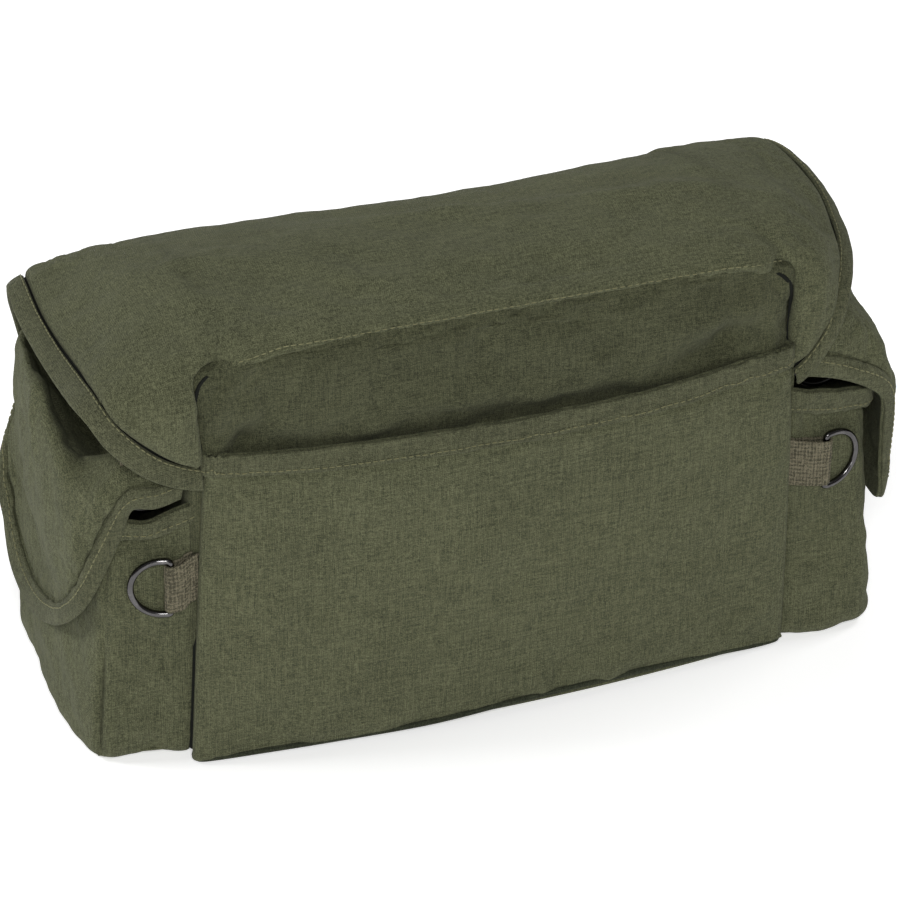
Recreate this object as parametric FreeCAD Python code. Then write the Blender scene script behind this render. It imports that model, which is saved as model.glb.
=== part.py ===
"""Canvas camera bag: a soft box with a padded insert, a hinged main flap, two end pockets with their own
flaps, two front pockets, a slip pocket on the back, webbing tabs, D-rings and spring hooks.

Frame, in millimetres: +Z up, the front faces -Y, the back with the slip pocket faces +Y, and the
origin is the middle of the base. Left and right are as seen by someone facing the front, so right is +X.
"""
import FreeCAD, Part
import math
import os

V = FreeCAD.Vector

# ---------------------------------------------------------------- driving dimensions
cloth = 2.5                     # thickness of a doubled canvas panel with its seam allowance
thin_cloth = 2.0                # thickness of a flap or pocket wall
hem_thickness = 1.2             # how far a folded hem stands off its panel
body_half_length = 150.0
body_half_depth = 72.5
back_height = 216.0
front_height = 188.0

foam = 6.0                      # padded insert walls
insert_height = 160.0
insert_gap = 2.5                # between the insert and the canvas round it
divider_thickness = 5.0
divider_height = 138.0
board_thickness = 3.0

slip_half_width = 148.0         # slip pocket on the back
slip_height = 171.0
slip_edge_y = 79.0
slip_bulge = 10.0
slip_hem = 12.0

pocket_root_y = 68.5            # end pocket: half depth at the body and at its outer corner
pocket_corner = (196.0, 60.0)
pocket_bulge_x = 198.5
pocket_floor_z = 3.0
pocket_height = 137.0
pocket_hem = 12.0

hood_root_y = 74.0              # end flap, a hood over the pocket
hood_corner = (204.0, 64.0)
hood_seam_z = 187.0             # where it is sewn to the end panel
hood_fold = (184.0, 172.0)      # x and z of the line that it folds along
hood_shoulder = (200.5, 151.0)
hood_side_z = 150.0             # lower edge of its side walls
hood_split_x = 173.0            # side walls: inside this they stay with the bag
hood_tip_z = 56.0
hood_band = 13.0

front_depth = 39.5              # front pockets
front_height_pocket = 140.0
front_gap = 5.0                 # from the middle to each pocket
front_hem = 12.0

flap_half_length = 190.0        # main flap
flap_hinge = (76.0, 218.0)      # y and z of the line that it turns about
flap_drop_y = -120.0            # its front, and the front's lower edge
flap_drop_z = 84.0
flap_crown = [(70, 225.5), (30, 228.5), (-12, 224), (-62, 206), (-82, 191)]        # over the bag
flap_shoulder = [(70, 213.5), (30, 209), (-12, 204.5), (-62, 199.5), (-82, 187)]   # at its two ends
flap_band = 14.0
flap_band_thickness = 1.5
wing_y = 76.0                   # rear corners of the flap, sewn beside the slip pocket
wing_top_z = 204.0
wing_end_y = 60.0
band_gap = 1.0                  # between a part that moves and the one that it meets

webbing = 25.4
sleeve_radius = 2.9
wire_radius = 1.6
sleeve_clearance = 0.08
ring_half = 14.8                # D-ring: half its height at the wire's middle
ring_straight = 4.0
ring_corner = 2.0

lower_ring = {"right": (160.5, 72.0, 98.7), "left": (168.0, 72.0, 98.7)}     # middle of each ring's straight bar
lower_ring_turn = -15.0              # it leans in towards the end pocket
upper_ring = (167.0, 59.8, 155.0)
front_ring = (70.0, -115.2, 28.0)
hook_bar = (70.0, -123.3, 77.0)

sides = (("right", 1), ("left", -1))


# ---------------------------------------------------------------- helpers
def box(x0, x1, y0, y1, z0, z1):
    """A block between opposite corners, whichever way round they are given."""
    x0, x1 = sorted((x0, x1))
    y0, y1 = sorted((y0, y1))
    z0, z1 = sorted((z0, z1))
    return Part.makeBox(x1 - x0, y1 - y0, z1 - z0, V(x0, y0, z0))


def plate(points, plane, start, end):
    """A flat polygon in plane "xy", "xz" or "yz", carried along the third axis from start to end."""
    place = {
        "xy": (lambda a, b: V(a, b, start), V(0, 0, end - start)),
        "xz": (lambda a, b: V(a, start, b), V(0, end - start, 0)),
        "yz": (lambda a, b: V(start, a, b), V(end - start, 0, 0)),
    }
    to_point, along = place[plane]
    corners = [to_point(a, b) for a, b in points]
    return Part.Face(Part.makePolygon(corners + corners[:1])).extrude(along)


def outline(edges, z0, z1):
    """A closed run of plan edges, each a line of two points or an arc of three, made solid from z0 to z1."""
    made = []
    for points in edges:
        corners = [V(x, y, z0) for x, y in points]
        if len(corners) == 2:
            made.append(Part.LineSegment(*corners).toShape())
        else:
            made.append(Part.Arc(*corners).toShape())
    return Part.Face(Part.Wire(made)).extrude(V(0, 0, z1 - z0))


def mirrored(shape, side):
    """The shape as made for the right, or its mirror image for the left."""
    return shape if side > 0 else shape.mirror(V(0, 0, 0), V(1, 0, 0))


def joined(shapes):
    return shapes[0].multiFuse(list(shapes[1:])).removeSplitter()


def save(name, shape):
    shape.exportStep(os.path.join("parts", name + ".step"))
    solids = shape.Solids
    state = "ok" if shape.isValid() and all(s.isClosed() for s in solids) else "BAD"
    print(f"{name:28s} {len(solids)} solids {shape.Volume:11.1f} mm3 {state}")


def round_bar(start, direction, steps, radius):
    """Round wire that begins at start. A step is ("line", length) or ("arc", centre, axis, degrees)."""
    pieces = []
    here, heading = V(*start), V(*direction)
    for step in steps:
        face = Part.Face(Part.Wire(Part.makeCircle(radius, here, heading)))
        if step[0] == "line":
            pieces.append(face.extrude(heading * step[1]))
            here = here + heading * step[1]
        else:
            centre, axis, degrees = V(*step[1]), V(*step[2]), step[3]
            pieces.append(face.revolve(centre, axis, degrees))
            turn = FreeCAD.Rotation(axis, degrees)
            here = centre + turn.multVec(here - centre)
            heading = turn.multVec(heading)
    return joined(pieces)


def d_ring():
    """A D-ring in the XZ plane: its straight bar stands on the origin along Z, and its bow reaches to +X."""
    reach, half, corner = ring_straight, ring_half, ring_corner
    axis = (0, 1, 0)
    steps = [
        ("line", half - corner),
        ("arc", (corner, 0, half - corner), axis, 90),
        ("line", reach - corner),
        ("arc", (reach, 0, 0), axis, 180),
        ("line", reach - corner),
        ("arc", (corner, 0, corner - half), axis, 90),
        ("line", half - corner),
    ]
    return round_bar((0, 0, 0), (0, 0, 1), steps, wire_radius)


def tab(length):
    """Doubled webbing in the XY plane: a sleeve round the Z axis, and a tongue of that length towards -X."""
    body = box(-length, 0, -sleeve_radius, sleeve_radius, -webbing / 2, webbing / 2)
    end = Part.makeCylinder(sleeve_radius, webbing, V(0, 0, -webbing / 2))
    hole = Part.makeCylinder(wire_radius + sleeve_clearance, webbing, V(0, 0, -webbing / 2))
    return joined([body, end]).cut(hole)


def hanging(shape):
    """Turns a ring or tab made in its own frame so that its bar lies along X and its bow hangs down."""
    turned = shape.copy()
    turned.rotate(V(0, 0, 0), V(0, 1, 0), 90)
    return turned


def at(shape, place):
    moved = shape.copy()
    moved.translate(V(*place))
    return moved


# ---------------------------------------------------------------- the canvas box
def body_panels():
    length, depth = body_half_length, body_half_depth
    inner_depth = depth - cloth
    save("bottom_panel", box(-length, length, -depth, depth, 0, cloth))
    save("back_panel", box(-length, length, inner_depth, depth, cloth, back_height))
    save("front_panel", box(-length, length, -depth, -inner_depth, cloth, front_height))
    end = [
        (-inner_depth, cloth),
        (inner_depth, cloth),
        (inner_depth, back_height),
        (-inner_depth, front_height),
    ]
    for name, side in sides:
        save(f"end_panel_{name}", plate(end, "yz", side * length, side * (length - cloth)))


def base_and_insert():
    floor = cloth + board_thickness
    half_x = body_half_length - cloth - insert_gap
    half_y = body_half_depth - cloth - insert_gap
    top = floor + insert_height
    inner_x, inner_y = half_x - foam, half_y - foam
    save("base_board", box(-half_x, half_x, -half_y, half_y, cloth, floor))
    save("insert_floor", box(-inner_x, inner_x, -inner_y, inner_y, floor, floor + foam))
    save("insert_back_wall", box(-half_x, half_x, inner_y, half_y, floor, top))
    save("insert_front_wall", box(-half_x, half_x, -half_y, -inner_y, floor, top))
    ends = [box(side * inner_x, side * half_x, -inner_y, inner_y, floor, top) for _, side in sides]
    save("insert_end_walls", Part.makeCompound(ends))
    half = divider_thickness / 2
    low, high = floor + foam, floor + foam + divider_height
    for name, middle in (("left", -inner_x / 2), ("middle", 0.0), ("right", inner_x / 2)):
        save(f"insert_divider_{name}", box(middle - half, middle + half, -inner_y, inner_y, low, high))


def slip_shell(off, z0, z1):
    """The slip pocket's outer plan shape, made larger by off, from the back panel outwards."""
    x, root, edge = slip_half_width, body_half_depth, slip_edge_y + off
    return outline(
        [
            [(-x, root), (-x, edge)],
            [(-x, edge), (0, edge + slip_bulge), (x, edge)],
            [(x, edge), (x, root)],
            [(x, root), (-x, root)],
        ],
        z0,
        z1,
    )


def slip_pocket():
    outer = slip_shell(0, 0, slip_height)
    inner = slip_shell(-thin_cloth, cloth, slip_height)
    room = inner.common(box(-slip_half_width + cloth, slip_half_width - cloth, 0, 200, 0, slip_height))
    save("slip_pocket_panel", outer.cut(room))
    low = slip_height - slip_hem
    hem = slip_shell(hem_thickness, low, slip_height).cut(slip_shell(0, low, slip_height))
    save("slip_pocket_hem", hem)


# ---------------------------------------------------------------- end pockets and their flaps
def pocket_plan(off, z0, z1, root_x=body_half_length):
    """An end pocket's plan shape on the right, made larger by off."""
    corner_x, corner_y = pocket_corner[0] + off, pocket_corner[1] + off
    root_y = pocket_root_y + off
    return outline(
        [
            [(root_x, -root_y), (corner_x, -corner_y)],
            [(corner_x, -corner_y), (pocket_bulge_x + off, 0), (corner_x, corner_y)],
            [(corner_x, corner_y), (root_x, root_y)],
            [(root_x, root_y), (root_x, -root_y)],
        ],
        z0,
        z1,
    )


def end_pocket(name, side):
    outer = pocket_plan(0, pocket_floor_z, pocket_height)
    inner = pocket_plan(-thin_cloth, pocket_floor_z + thin_cloth, pocket_height)
    walls = outer.cut(inner)
    split = pocket_corner[0] - thin_cloth
    beyond = box(split, 250, -100, 100, pocket_floor_z + thin_cloth, pocket_height)
    save(f"end_pocket_panel_{name}", mirrored(walls.common(beyond), side))
    save(f"end_pocket_gusset_{name}", mirrored(walls.cut(beyond), side))
    low = pocket_height - pocket_hem
    ring = pocket_plan(hem_thickness, low, pocket_height).cut(pocket_plan(0, low, pocket_height))
    save(f"end_pocket_hem_{name}", mirrored(ring, side))


def loop_tapes():
    """The fuzzy half of each end flap's fastening tape, sewn on the end pockets."""
    low, high = 76.0, 101.0
    tape = pocket_plan(1.0, low, high).cut(pocket_plan(0, low, high)).common(box(180, 250, -25, 25, low, high))
    save("loop_tapes", Part.makeCompound([mirrored(tape, side) for _, side in sides]))


def hood_plan(off, z0, z1):
    """The plan shape of an end flap's hood on the right, made larger by off."""
    x, y, root = hood_corner[0] + off, hood_corner[1] + off, hood_root_y + off
    near = body_half_length
    return plate([(near, -root), (x, -y), (x, y), (near, root)], "xy", z0, z1)


def hood_edge(raise_by):
    """The space below the hood's lower edge, with that edge raised: level sides and a deep rounded front."""
    low, side = 0.0, hood_side_z + raise_by
    corner_z = 112.0 + raise_by
    under_sides = plate(
        [(100, low), (hood_corner[0] + 5, low), (hood_corner[0] + 5, corner_z), (hood_split_x, side), (100, side)],
        "xz",
        -120,
        120,
    )
    tip, wide, half = hood_tip_z + raise_by, 62.0 - raise_by, 22.0
    shoulder_z = 86.0 + raise_by * 0.7
    bend = (50.0 - raise_by, 62.0 + raise_by * 0.9)
    tongue = [
        (V(0, -half, tip), V(0, half, tip)),
        (V(0, half, tip), V(0, bend[0], bend[1]), V(0, wide, shoulder_z)),
        (V(0, wide, shoulder_z), V(0, 90, side + 15)),
        (V(0, 90, side + 15), V(0, -90, side + 15)),
        (V(0, -90, side + 15), V(0, -wide, shoulder_z)),
        (V(0, -wide, shoulder_z), V(0, -bend[0], bend[1]), V(0, -half, tip)),
    ]
    edges = [Part.LineSegment(*p).toShape() if len(p) == 2 else Part.Arc(*p).toShape() for p in tongue]
    kept = Part.Face(Part.Wire(edges)).extrude(V(20, 0, 0))
    kept.translate(V(hood_corner[0] - thin_cloth - 0.5, 0, 0))
    under_front = box(hood_corner[0] - thin_cloth - 0.5, 250, -120, 120, low, side + 15).cut(kept)
    front_only = box(0, hood_corner[0] - thin_cloth - 0.5, -120, 120, low, side + 20)
    return under_sides.common(front_only), under_front


def roof_points(fold):
    """The end flap's top as XZ points: its upper face from the seam outwards, then its underside back."""
    seam_x, under = body_half_length, thin_cloth * 1.15
    eaves_z = hood_shoulder[1] - 4
    upper = [(seam_x, hood_seam_z), fold, hood_shoulder, (hood_corner[0], eaves_z)]
    lower = [(hood_corner[0], eaves_z - under), (hood_shoulder[0] - 0.6, hood_shoulder[1] - under)]
    return upper + lower + [(fold[0] - 0.8, fold[1] - under), (seam_x, hood_seam_z - under)]


def end_flap(name, side):
    seam_x, fold = body_half_length, hood_fold
    points = roof_points(fold)
    clip = hood_plan(0, 0, 220)
    roof = plate(points, "xz", -120, 120).common(clip)
    below_roof = plate(points[:4] + [(hood_corner[0], 40), (seam_x, 40)], "xz", -120, 120)
    walls = clip.cut(hood_plan(-thin_cloth, 0, 220)).common(below_roof)
    walls = walls.cut(box(seam_x - 5, seam_x + 4, -hood_root_y + 5, hood_root_y - 5, 0, 220))
    for cutter in hood_edge(0):
        walls = walls.cut(cutter)
    hood = joined([roof, walls])
    split = hood_split_x
    fixed_region = plate(
        [(seam_x, 100), (split, 100), (split, fold[1] - 3.5), (fold[0] - 1.5, fold[1] - 3.5),
         (fold[0] - 0.2, 250), (seam_x, 250)],
        "xz",
        -120,
        120,
    )
    moving_region = plate(
        [(split + band_gap, 0), (split + band_gap, fold[1] - 4.8), (fold[0] - 0.6, fold[1] - 4.8),
         (fold[0] + 0.8, 250), (250, 250), (250, 0)],
        "xz",
        -120,
        120,
    )
    save(f"end_flap_yoke_{name}", mirrored(hood.common(fixed_region), side))
    save(f"end_flap_panel_{name}", mirrored(hood.common(moving_region), side))
    strip = hood_plan(hem_thickness, 0, hood_side_z + 30).cut(hood_plan(0, 0, hood_side_z + 30))
    for cutter in hood_edge(0):
        strip = strip.cut(cutter)
    above_sides, above_front = hood_edge(hood_band)
    strip = strip.common(joined([above_sides, above_front]))
    strip = strip.common(moving_region)
    save(f"end_flap_band_{name}", mirrored(strip, side))
    tape_x = hood_corner[0] - thin_cloth
    save(f"end_flap_hook_tape_{name}", mirrored(box(tape_x - 1.0, tape_x, -25, 25, 76, 101), side))


# ---------------------------------------------------------------- front pockets
def front_pocket(name, side):
    near, far = front_gap, body_half_length - 2.0
    root, face = -body_half_depth, -body_half_depth - front_depth
    low, high = 2.0, front_height_pocket
    walls = box(near, far, face + thin_cloth, root, low, high)
    room = box(near + thin_cloth, far - thin_cloth, face, root, low + thin_cloth, high)
    save(f"front_pocket_panel_{name}", mirrored(box(near, far, face, face + thin_cloth, low, high), side))
    save(f"front_pocket_gusset_{name}", mirrored(walls.cut(room), side))
    return mirrored(box(near, far, face - hem_thickness, face, high - front_hem, high), side)


# ---------------------------------------------------------------- main flap
def flap_side_view(crown, first_z):
    """The flap from the side, as a closed YZ run: outer face from the hinge to the front edge, then inner."""
    outer = [(flap_hinge[0] + 0.5, first_z)] + crown
    outer += [(flap_drop_y, 142.0), (flap_drop_y, flap_drop_z - 40.0)]
    inner = []
    for i, (y, z) in enumerate(outer):
        before, after = outer[max(i - 1, 0)], outer[min(i + 1, len(outer) - 1)]
        run = (after[0] - before[0], after[1] - before[1])
        size = math.hypot(*run)
        inner.append((y - run[1] / size * cloth, z + run[0] / size * cloth))
    return outer + inner[::-1]


def flap_slice(x, side_view):
    corners = [V(x, y, z) for y, z in side_view]
    return Part.makePolygon(corners + corners[:1])


def main_flap():
    over_bag = flap_side_view(flap_crown, flap_hinge[1] + 1.5)
    at_end = flap_side_view(flap_shoulder, flap_hinge[1] - 8.5)
    length = body_half_length
    parts = [Part.Face(flap_slice(-length, over_bag)).extrude(V(2 * length, 0, 0))]
    for _, side in sides:
        near, far = flap_slice(side * length, over_bag), flap_slice(side * flap_half_length, at_end)
        parts.append(Part.makeLoft([near, far], True, True))
    below = box(-250, 250, -200, 120, -50, flap_drop_z)
    behind = box(-250, 250, 40, 120, 0, wing_top_z + band_gap)
    panel = joined(parts).cut(below).cut(behind)
    taper = [(flap_half_length + 5, 196), (166, flap_drop_z - 1), (flap_half_length + 5, flap_drop_z - 1)]
    for _, side in sides:
        panel = panel.cut(plate([(side * x, z) for x, z in taper], "xz", -200, -68))
    save("flap_panel", panel)

    top = [(wing_end_y - band_gap, 210.5)] + flap_shoulder[1:]
    strip = top + [(y, z - flap_band) for y, z in reversed(top)]
    bands = []
    for _, side in sides:
        x = side * flap_half_length
        bands.append(plate(strip, "yz", x, x + side * flap_band_thickness))
    save("flap_side_bands", Part.makeCompound(bands))

    half = 163.0
    face = flap_drop_y - hem_thickness
    band = box(-half, half, face, flap_drop_y, flap_drop_z, flap_drop_z + 15)
    save("flap_front_band", band.cut(panel))

    bar_x, bar_y, bar_z = hook_bar
    tabs = []
    for _, side in sides:
        sleeve = at(hanging(tab(0.1)), (side * bar_x, bar_y, bar_z))
        left, right = side * bar_x - webbing / 2, side * bar_x + webbing / 2
        tongue = box(left, right, face - 2.6, flap_drop_y, bar_z + sleeve_radius - 0.6, bar_z + 48)
        tabs.append(joined([sleeve, tongue]).cut(panel).cut(band))
    save("closure_tabs", Part.makeCompound(tabs))


def flap_wings():
    """The rear corners of the flap: each covers a corner of the bag beside the slip pocket and stays there."""
    inner, outer = slip_half_width + 1.2, flap_half_length
    rim = [(inner, wing_top_z), (outer, wing_top_z), (outer, 196), (174, 182), (162, 165), (inner, 148)]
    end_rim = [(wing_end_y, wing_top_z), (wing_y, wing_top_z), (wing_y, 190), (wing_end_y, 186)]
    wing = joined([
        plate(rim, "xz", wing_y, wing_y + thin_cloth),
        plate(end_rim, "yz", outer - thin_cloth, outer),
        box(inner - 0.8, body_half_length, body_half_depth, wing_y, 150, wing_top_z),
    ])
    lower = rim[2:]
    strip = lower + [(x - 3.0, z + 14.0) for x, z in reversed(lower)]
    face = wing_y + thin_cloth
    band = plate(strip, "xz", face, face + hem_thickness)
    band = band.common(box(inner, 250, 0, 120, 0, wing_top_z))
    for name, side in sides:
        save(f"flap_wing_{name}", mirrored(wing, side))
    save("flap_wing_bands", Part.makeCompound([mirrored(band, side) for _, side in sides]))


def seam_strip():
    """The turned-in edge of the flap, sewn on the back panel."""
    half, low, high = slip_half_width, 201.0, flap_hinge[1] - 2.0
    save("flap_seam_strip", box(-half, half, body_half_depth, body_half_depth + 1.6, low, high))


# ---------------------------------------------------------------- rings, tabs and hooks
def rings_and_tabs():
    tabs = []
    for name, side in sides:
        place = lower_ring[name]
        ring = d_ring()
        ring.rotate(V(0, 0, 0), V(0, 0, 1), lower_ring_turn)
        save(f"lower_ring_{name}", mirrored(at(ring, place), side))
        tabs.append(mirrored(at(tab(place[0] - body_half_length), place), side))
    save("lower_ring_tabs", Part.makeCompound(tabs))

    tabs = []
    under = roof_points(hood_fold)[-1:] + roof_points(hood_fold)[-2:-1]
    above_roof = plate(under + [(hood_fold[0], 250), (body_half_length, 250)], "xz", -120, 120)
    for name, side in sides:
        save(f"upper_ring_{name}", mirrored(at(hanging(d_ring()), upper_ring), side))
        strip = at(hanging(tab(36.0)), upper_ring).cut(above_roof)
        tabs.append(mirrored(strip, side))
    save("upper_ring_tabs", Part.makeCompound(tabs))

    tabs = []
    for name, side in sides:
        save(f"front_ring_{name}", mirrored(at(hanging(d_ring()), front_ring), side))
        tabs.append(mirrored(at(hanging(tab(22.0)), front_ring), side))
    save("front_ring_tabs", Part.makeCompound(tabs))


def spring_hook(name, side):
    """A wire spring hook that hangs from its webbing: a wide eye, a neck, a hook, and a gate on a pin."""
    half, corner, eye = 15.6, 2.6, 10.0
    down = (0, 1, 0)
    loop = round_bar(
        (0, 0, 0),
        (1, 0, 0),
        [
            ("line", half - corner),
            ("arc", (half - corner, 0, -corner), down, 90),
            ("line", eye - 2 * corner),
            ("arc", (half - corner, 0, corner - eye), down, 90),
            ("line", 2 * (half - corner)),
            ("arc", (corner - half, 0, corner - eye), down, 90),
            ("line", eye - 2 * corner),
            ("arc", (corner - half, 0, -corner), down, 90),
            ("line", half - corner),
        ],
        wire_radius,
    )
    neck_top, neck_end, neck_radius = -eye, -eye - 7.0, 3.0
    neck = Part.makeCylinder(neck_radius, neck_top - neck_end + 1.2, V(0, 0, neck_end))
    bow, bow_wire = 8.6, 1.7
    centre_z = neck_end - bow + 1.0
    sweep = 282.0
    hook = round_bar((0, 0, centre_z + bow), (-1, 0, 0), [("arc", (0, 0, centre_z), (0, -1, 0), sweep)], bow_wire)
    pin = (4.9, neck_end + 1.6)
    ear_low, ear_high = 0.95, 2.0
    ears = []
    for way in (1, -1):
        ears.append(box(1.5, pin[0] + 1.6, way * ear_low, way * ear_high, pin[1] - 1.8, pin[1] + 2.2))
    body = joined([loop, neck, hook] + ears)
    slot = box(pin[0] - 2.2, pin[0] + 4, -ear_low, ear_low, pin[1] - 3.2, pin[1] + 2.4)
    pin_radius = 0.8
    hole = Part.makeCylinder(pin_radius, 8, V(pin[0], -4, pin[1]), V(0, 1, 0))
    body = body.cut(slot).cut(hole)
    tip_angle = math.radians(sweep + 90.0)
    tip = (bow * math.cos(tip_angle) + 0.0, centre_z + bow * math.sin(tip_angle))
    gate_half = 0.6
    run = (tip[0] - bow_wire * 0.2 - pin[0], tip[1] + 2.9 - pin[1])
    size = math.hypot(*run)
    across = (-run[1] / size * 1.25, run[0] / size * 1.25)
    end = (pin[0] + run[0], pin[1] + run[1])
    blade = [
        (pin[0] + across[0], pin[1] + across[1]),
        (pin[0] - across[0], pin[1] - across[1]),
        (end[0] - across[0], end[1] - across[1]),
        (end[0] + across[0], end[1] + across[1]),
    ]
    knuckle = Part.makeCylinder(1.55, 2 * gate_half, V(pin[0], -gate_half, pin[1]), V(0, 1, 0))
    bore = Part.makeCylinder(pin_radius + 0.07, 8, V(pin[0], -4, pin[1]), V(0, 1, 0))
    gate = joined([plate(blade, "xz", -gate_half, gate_half), knuckle]).cut(bore)
    rivet = Part.makeCylinder(pin_radius, 2 * ear_high, V(pin[0], -ear_high, pin[1]), V(0, 1, 0))
    for part_name, shape in (("spring_hook", body), ("hook_gate", gate), ("gate_pin", rivet)):
        save(f"{part_name}_{name}", mirrored(at(shape, hook_bar), side))
    if side > 0:
        print("gate pivot", [round(a + b, 3) for a, b in zip(hook_bar, (pin[0], 0, pin[1]))])


def main():
    os.makedirs("parts", exist_ok=True)
    body_panels()
    base_and_insert()
    slip_pocket()
    seam_strip()
    main_flap()
    flap_wings()
    rings_and_tabs()
    loop_tapes()
    hems = []
    for name, side in sides:
        end_pocket(name, side)
        end_flap(name, side)
        hems.append(front_pocket(name, side))
        spring_hook(name, side)
    save("front_pocket_hems", Part.makeCompound(hems))


main()
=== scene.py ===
import math

import bpy
import numpy as np
from mathutils import Matrix, Vector, noise


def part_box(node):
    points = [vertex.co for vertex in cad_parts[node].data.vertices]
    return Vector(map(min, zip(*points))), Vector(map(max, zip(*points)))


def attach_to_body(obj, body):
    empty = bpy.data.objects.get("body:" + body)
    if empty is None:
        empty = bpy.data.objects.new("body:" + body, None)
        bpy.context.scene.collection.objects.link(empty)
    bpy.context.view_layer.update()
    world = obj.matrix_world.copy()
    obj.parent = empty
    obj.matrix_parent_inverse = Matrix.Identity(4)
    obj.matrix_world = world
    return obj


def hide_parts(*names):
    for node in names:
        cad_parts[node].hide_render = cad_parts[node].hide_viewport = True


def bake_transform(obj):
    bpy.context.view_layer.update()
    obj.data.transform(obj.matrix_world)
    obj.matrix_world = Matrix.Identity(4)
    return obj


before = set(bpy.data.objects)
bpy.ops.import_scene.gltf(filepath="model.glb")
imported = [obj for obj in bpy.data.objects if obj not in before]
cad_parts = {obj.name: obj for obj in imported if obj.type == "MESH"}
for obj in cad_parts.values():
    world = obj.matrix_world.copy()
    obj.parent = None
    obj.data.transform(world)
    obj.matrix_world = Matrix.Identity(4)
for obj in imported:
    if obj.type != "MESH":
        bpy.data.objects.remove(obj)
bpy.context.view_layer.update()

MM = 0.001
SIDES = (("right", 1), ("left", -1))


# ------------------------------------------------------------ materials
def nodes_of(name):
    m = bpy.data.materials.new(name)
    m.use_nodes = True
    nt = m.node_tree
    nt.nodes.clear()
    out = nt.nodes.new("ShaderNodeOutputMaterial")
    p = nt.nodes.new("ShaderNodeBsdfPrincipled")
    nt.links.new(p.outputs[0], out.inputs[0])
    return m, nt, p


def node(nt, kind, **values):
    n = nt.nodes.new(kind)
    for k, v in values.items():
        if k in n.inputs:
            n.inputs[k].default_value = v
        else:
            setattr(n, k, v)
    return n


def noise_of(nt, vector, **values):
    n = node(nt, "ShaderNodeTexNoise", **values)
    nt.links.new(vector, n.inputs["Vector"])
    return n.outputs["Fac"]


def math_node(nt, op, a, b):
    n = nt.nodes.new("ShaderNodeMath")
    n.operation = op
    for i, v in enumerate((a, b)):
        if isinstance(v, (int, float)):
            n.inputs[i].default_value = v
        else:
            nt.links.new(v, n.inputs[i])
    return n.outputs[0]


def ramp(nt, fac, stops):
    n = nt.nodes.new("ShaderNodeValToRGB")
    e = n.color_ramp.elements
    while len(e) < len(stops):
        e.new(0.5)
    for el, (pos, col) in zip(e, stops):
        el.position = pos
        el.color = (*col, 1)
    nt.links.new(fac, n.inputs[0])
    return n.outputs[0]


def fabric(name, base, pitch=1.0, across=0.9, rib=0.5, speckle=0.66, blotch=0.10, thread=0.30, bump=0.5,
    sheen=0.06, wobble=0.0014):
    """Woven cloth: warp and weft threads, slubs, slow fading and fine speckle."""
    m, nt, p = nodes_of(name)
    tc = nt.nodes.new("ShaderNodeTexCoord")
    src, own = tc.outputs["UV"], tc.outputs["Object"]
    warp = node(nt, "ShaderNodeTexNoise", Scale=60.0, Detail=2.0)
    nt.links.new(src, warp.inputs["Vector"])
    mix = nt.nodes.new("ShaderNodeVectorMath")
    mix.operation = "MULTIPLY_ADD"
    nt.links.new(warp.outputs["Color"], mix.inputs[0])
    mix.inputs[1].default_value = (wobble, wobble, wobble)
    nt.links.new(src, mix.inputs[2])
    vec = mix.outputs[0]
    threads = []
    for direction, size in (("X", pitch), ("Y", across)):
        w = node(nt, "ShaderNodeTexWave", Scale=314.16 / size, Distortion=0.0)
        w.wave_type = "BANDS"
        w.bands_direction = direction
        w.wave_profile = "SIN"
        nt.links.new(vec, w.inputs["Vector"])
        threads.append(w.outputs["Fac"])
    weave = math_node(nt, "ADD", math_node(nt, "MULTIPLY", threads[0], rib),
        math_node(nt, "MULTIPLY", threads[1], 1 - rib))
    slubs = []
    for scale in ((1500.0, 500.0, 90.0), (70.0, 1300.0, 1300.0)):
        mapping = node(nt, "ShaderNodeMapping", Scale=scale)
        nt.links.new(own, mapping.inputs["Vector"])
        slubs.append(noise_of(nt, mapping.outputs[0], Scale=1.0, Detail=1.0))
    fine = noise_of(nt, own, Scale=1700.0, Detail=1.0, Roughness=0.7)
    mid = noise_of(nt, own, Scale=620.0, Detail=0.0)
    slow = noise_of(nt, own, Scale=26.0, Detail=3.0)
    grain = math_node(nt, "MULTIPLY", math_node(nt, "ADD", *slubs), 0.80)
    grain = math_node(nt, "ADD", grain, math_node(nt, "MULTIPLY", fine, 1.8))
    grain = math_node(nt, "ADD", grain, math_node(nt, "MULTIPLY", mid, 0.45))
    grain = math_node(nt, "MULTIPLY", math_node(nt, "SUBTRACT", grain, 1.925), speckle * 1.6)
    drift = math_node(nt, "MULTIPLY", math_node(nt, "SUBTRACT", slow, 0.5), blotch * 3.0)
    thread_tone = math_node(nt, "MULTIPLY", math_node(nt, "SUBTRACT", weave, 0.5), thread)
    tone = math_node(nt, "ADD", math_node(nt, "ADD", grain, drift), thread_tone)
    tone = math_node(nt, "ADD", tone, 0.5)
    r, g, b = base
    dark = (r * 0.45, g * 0.46, b * 0.45)
    light = (min(1, r * 1.62), min(1, g * 1.60), min(1, b * 1.65))
    col = ramp(nt, tone, [(0.0, dark), (0.5, base), (1.0, light)])
    nt.links.new(col, p.inputs["Base Color"])
    height = math_node(nt, "ADD", weave, math_node(nt, "MULTIPLY", grain, 0.8))
    bn = node(nt, "ShaderNodeBump", Strength=bump, Distance=0.0005)
    nt.links.new(height, bn.inputs["Height"])
    nt.links.new(bn.outputs[0], p.inputs["Normal"])
    p.inputs["Roughness"].default_value = 0.93
    p.inputs["Specular IOR Level"].default_value = 0.18
    p.inputs["Sheen Weight"].default_value = sheen
    p.inputs["Sheen Roughness"].default_value = 0.55
    p.inputs["Sheen Tint"].default_value = (0.75, 0.78, 0.6, 1)
    return m


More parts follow.
